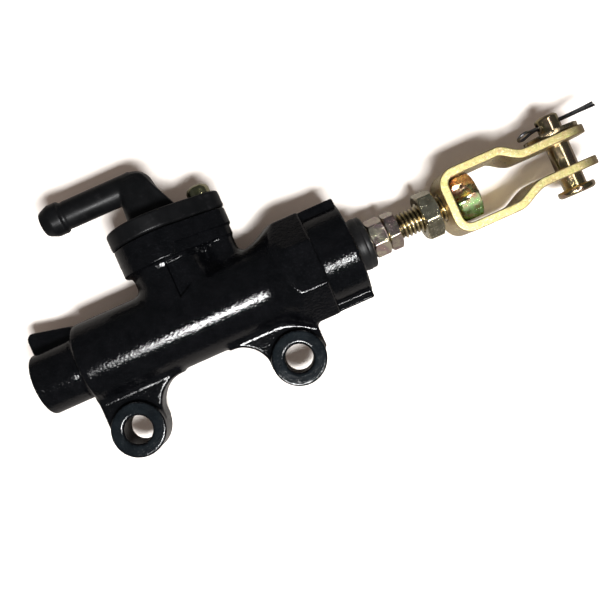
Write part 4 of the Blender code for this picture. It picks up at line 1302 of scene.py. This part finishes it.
# ---- floor, light and camera -------------------------------------------------
def white_paper():
    """Warm white, dim in reflections so that dark pieces keep their depth."""
    look = Look("white_paper")
    fibre = look.noise(scale=900, rough=0.6)
    rays = look.nodes.new("ShaderNodeLightPath").outputs
    tone = look.ramp(fibre, [(0.3, (0.91, 0.88, 0.85)), (0.7, (0.93, 0.90, 0.87))])
    tone = look.tint(tone, rays["Is Glossy Ray"], amount=0.82, colour=(0.0, 0.0, 0.0))
    look.set(
        Base_Color=tone,
        Roughness=0.9,
        Normal=look.bump(fibre, distance=0.00001, strength=0.4),
        Specular_IOR_Level=0.15,
    )
    # seen from behind, the paper lets the camera look through
    clear = look.nodes.new("ShaderNodeBsdfTransparent")
    side = look.nodes.new("ShaderNodeNewGeometry")
    through = look.math("MULTIPLY", side.outputs["Backfacing"], rays["Is Camera Ray"])
    blend = look.nodes.new("ShaderNodeMixShader")
    look.fill(blend.inputs[0], through)
    look.fill(blend.inputs[1], look.shader.outputs[0])
    look.fill(blend.inputs[2], clear.outputs[0])
    look.fill(look.nodes["Material Output"].inputs["Surface"], blend.outputs[0])
    return look.mat


def build_paper():
    """An upright sheet just behind the pieces; half and y are metres."""
    half, y = 0.7, CAD_HIGH.y + 0.0002
    mesh = bpy.data.meshes.new("paper")
    corners = [(-half, y, -half), (half, y, -half), (half, y, half), (-half, y, half)]
    mesh.from_pydata(corners, [], [(0, 1, 2, 3)])
    paper = add_object("paper", mesh)
    mesh.materials.append(white_paper())


def build_world():
    """Soft warm light, a dim cool one in reflections, and plain grey for the camera."""
    world = bpy.data.worlds.new("studio")
    SCENE.world = world
    world.use_nodes = True
    nodes, links = world.node_tree.nodes, world.node_tree.links
    nodes.clear()

    def background(colour, strength):
        node = nodes.new("ShaderNodeBackground")
        node.inputs["Color"].default_value = (*colour, 1)
        node.inputs["Strength"].default_value = strength
        return node.outputs[0]

    out = nodes.new("ShaderNodeOutputWorld")
    soft = background(colour=(1.0, 0.80, 0.68), strength=0.24)
    dim = background(colour=(0.88, 0.95, 1.0), strength=0.07)
    plain = background(colour=(0.93, 0.93, 0.93), strength=0.9)
    rays = nodes.new("ShaderNodeLightPath").outputs
    for_camera = nodes.new("ShaderNodeMixShader")
    for_gloss = nodes.new("ShaderNodeMixShader")
    for mixer, sources in (
        (for_gloss, (rays["Is Glossy Ray"], soft, dim)),
        (for_camera, (rays["Is Camera Ray"], for_gloss.outputs[0], plain)),
    ):
        for index, source in enumerate(sources):
            links.new(source, mixer.inputs[index])
    links.new(for_camera.outputs[0], out.inputs["Surface"])


def area(name, at, target, wide, tall, power, colour):
    """A rectangular light at one spot, aimed at another, with its width kept near X."""
    data = bpy.data.lights.new(name, "AREA")
    data.shape = "RECTANGLE"
    data.size, data.size_y = wide * MM, tall * MM
    data.energy = power
    data.color = colour
    light = add_object(name, data)
    light.location = spot(*at)
    back = (Vector(spot(*at)) - Vector(spot(*target))).normalized()
    up = back.cross(Vector((1, 0, 0))).normalized()
    right = up.cross(back).normalized()
    light.rotation_euler = Matrix((right, up, back)).transposed().to_euler()
    return light


# lights that only make highlights: name, X, width, power
SHINES = (
    ("shine_left", -58, 32, 0.10),
    ("shine_middle", -9, 62, 0.60),
    ("shine_mouth", 64, 18, 0.16),
)
# reflectors that only the plated pieces see: name, place, target, width, height, power
GLOWS = (
    ("window", (142, -220, 10), (110, 0, 0), 14, 90, 0.065),
    ("table_glow", (100, -150, -230), (90, 0, 0), 190, 110, 0.09),
    ("nut_glow", (110, -220, -72), (72, 0, 0), 24, 64, 0.13),
)


def build_lights():
    """One strip lights the paper and the colours, weaker ones make the highlights."""
    wash = area("strip_wash", at=(38, -330, -118), target=(35, 0, 0), wide=130, tall=60,
                power=3.0, colour=(1.0, 0.98, 0.96))
    wash.visible_glossy = False
    for name, x, wide, power in SHINES:
        shine = area(name, at=(x, -220, -89), target=(x * 0.6 + 12, 0, 0), wide=wide, tall=32,
                     power=power, colour=(1.0, 1.0, 1.0))
        shine.visible_diffuse = False
    plated = bpy.data.collections.new("plated_pieces")
    for obj in SCENE.objects:
        if obj.type == "MESH" and any(
            mat and mat.name.startswith("zinc") for mat in obj.data.materials
        ):
            plated.objects.link(obj)
    for row in GLOWS:
        glow = area(*row, colour=(1.0, 0.99, 0.96))
        glow.visible_diffuse = False
        glow.light_linking.receiver_collection = plated


def build_camera():
    """Looks along +Y, rolled by about 24 degrees."""
    camera = bpy.data.cameras.new("camera")
    camera.sensor_width = 36.0
    camera.lens = 44.88
    camera.clip_start = 0.005
    camera.clip_end = 20
    eye = add_object("camera", camera)
    roll_cos, roll_sin = 0.9135, 0.4067
    right, up = Vector((roll_cos, 0, -roll_sin)), Vector((roll_sin, 0, roll_cos))
    turn = Matrix((right, up, Vector((0, -1, 0)))).transposed().to_4x4()
    eye.matrix_world = Matrix.Translation(Vector(spot(31.85, -220.0, -7.65))) @ turn
    SCENE.camera = eye


build_casting()
build_elbow()
build_clevis()
build_boot()
build_rod()
build_nuts()
build_stud()
build_washer()
build_split_pin()
build_spring()
build_piston_and_rings()
build_seal_ring()
finish_snap_ring()
build_paper()
build_world()
build_lights()
build_camera()
SCENE.view_settings.view_transform = "Standard"
SCENE.view_settings.look = "None"
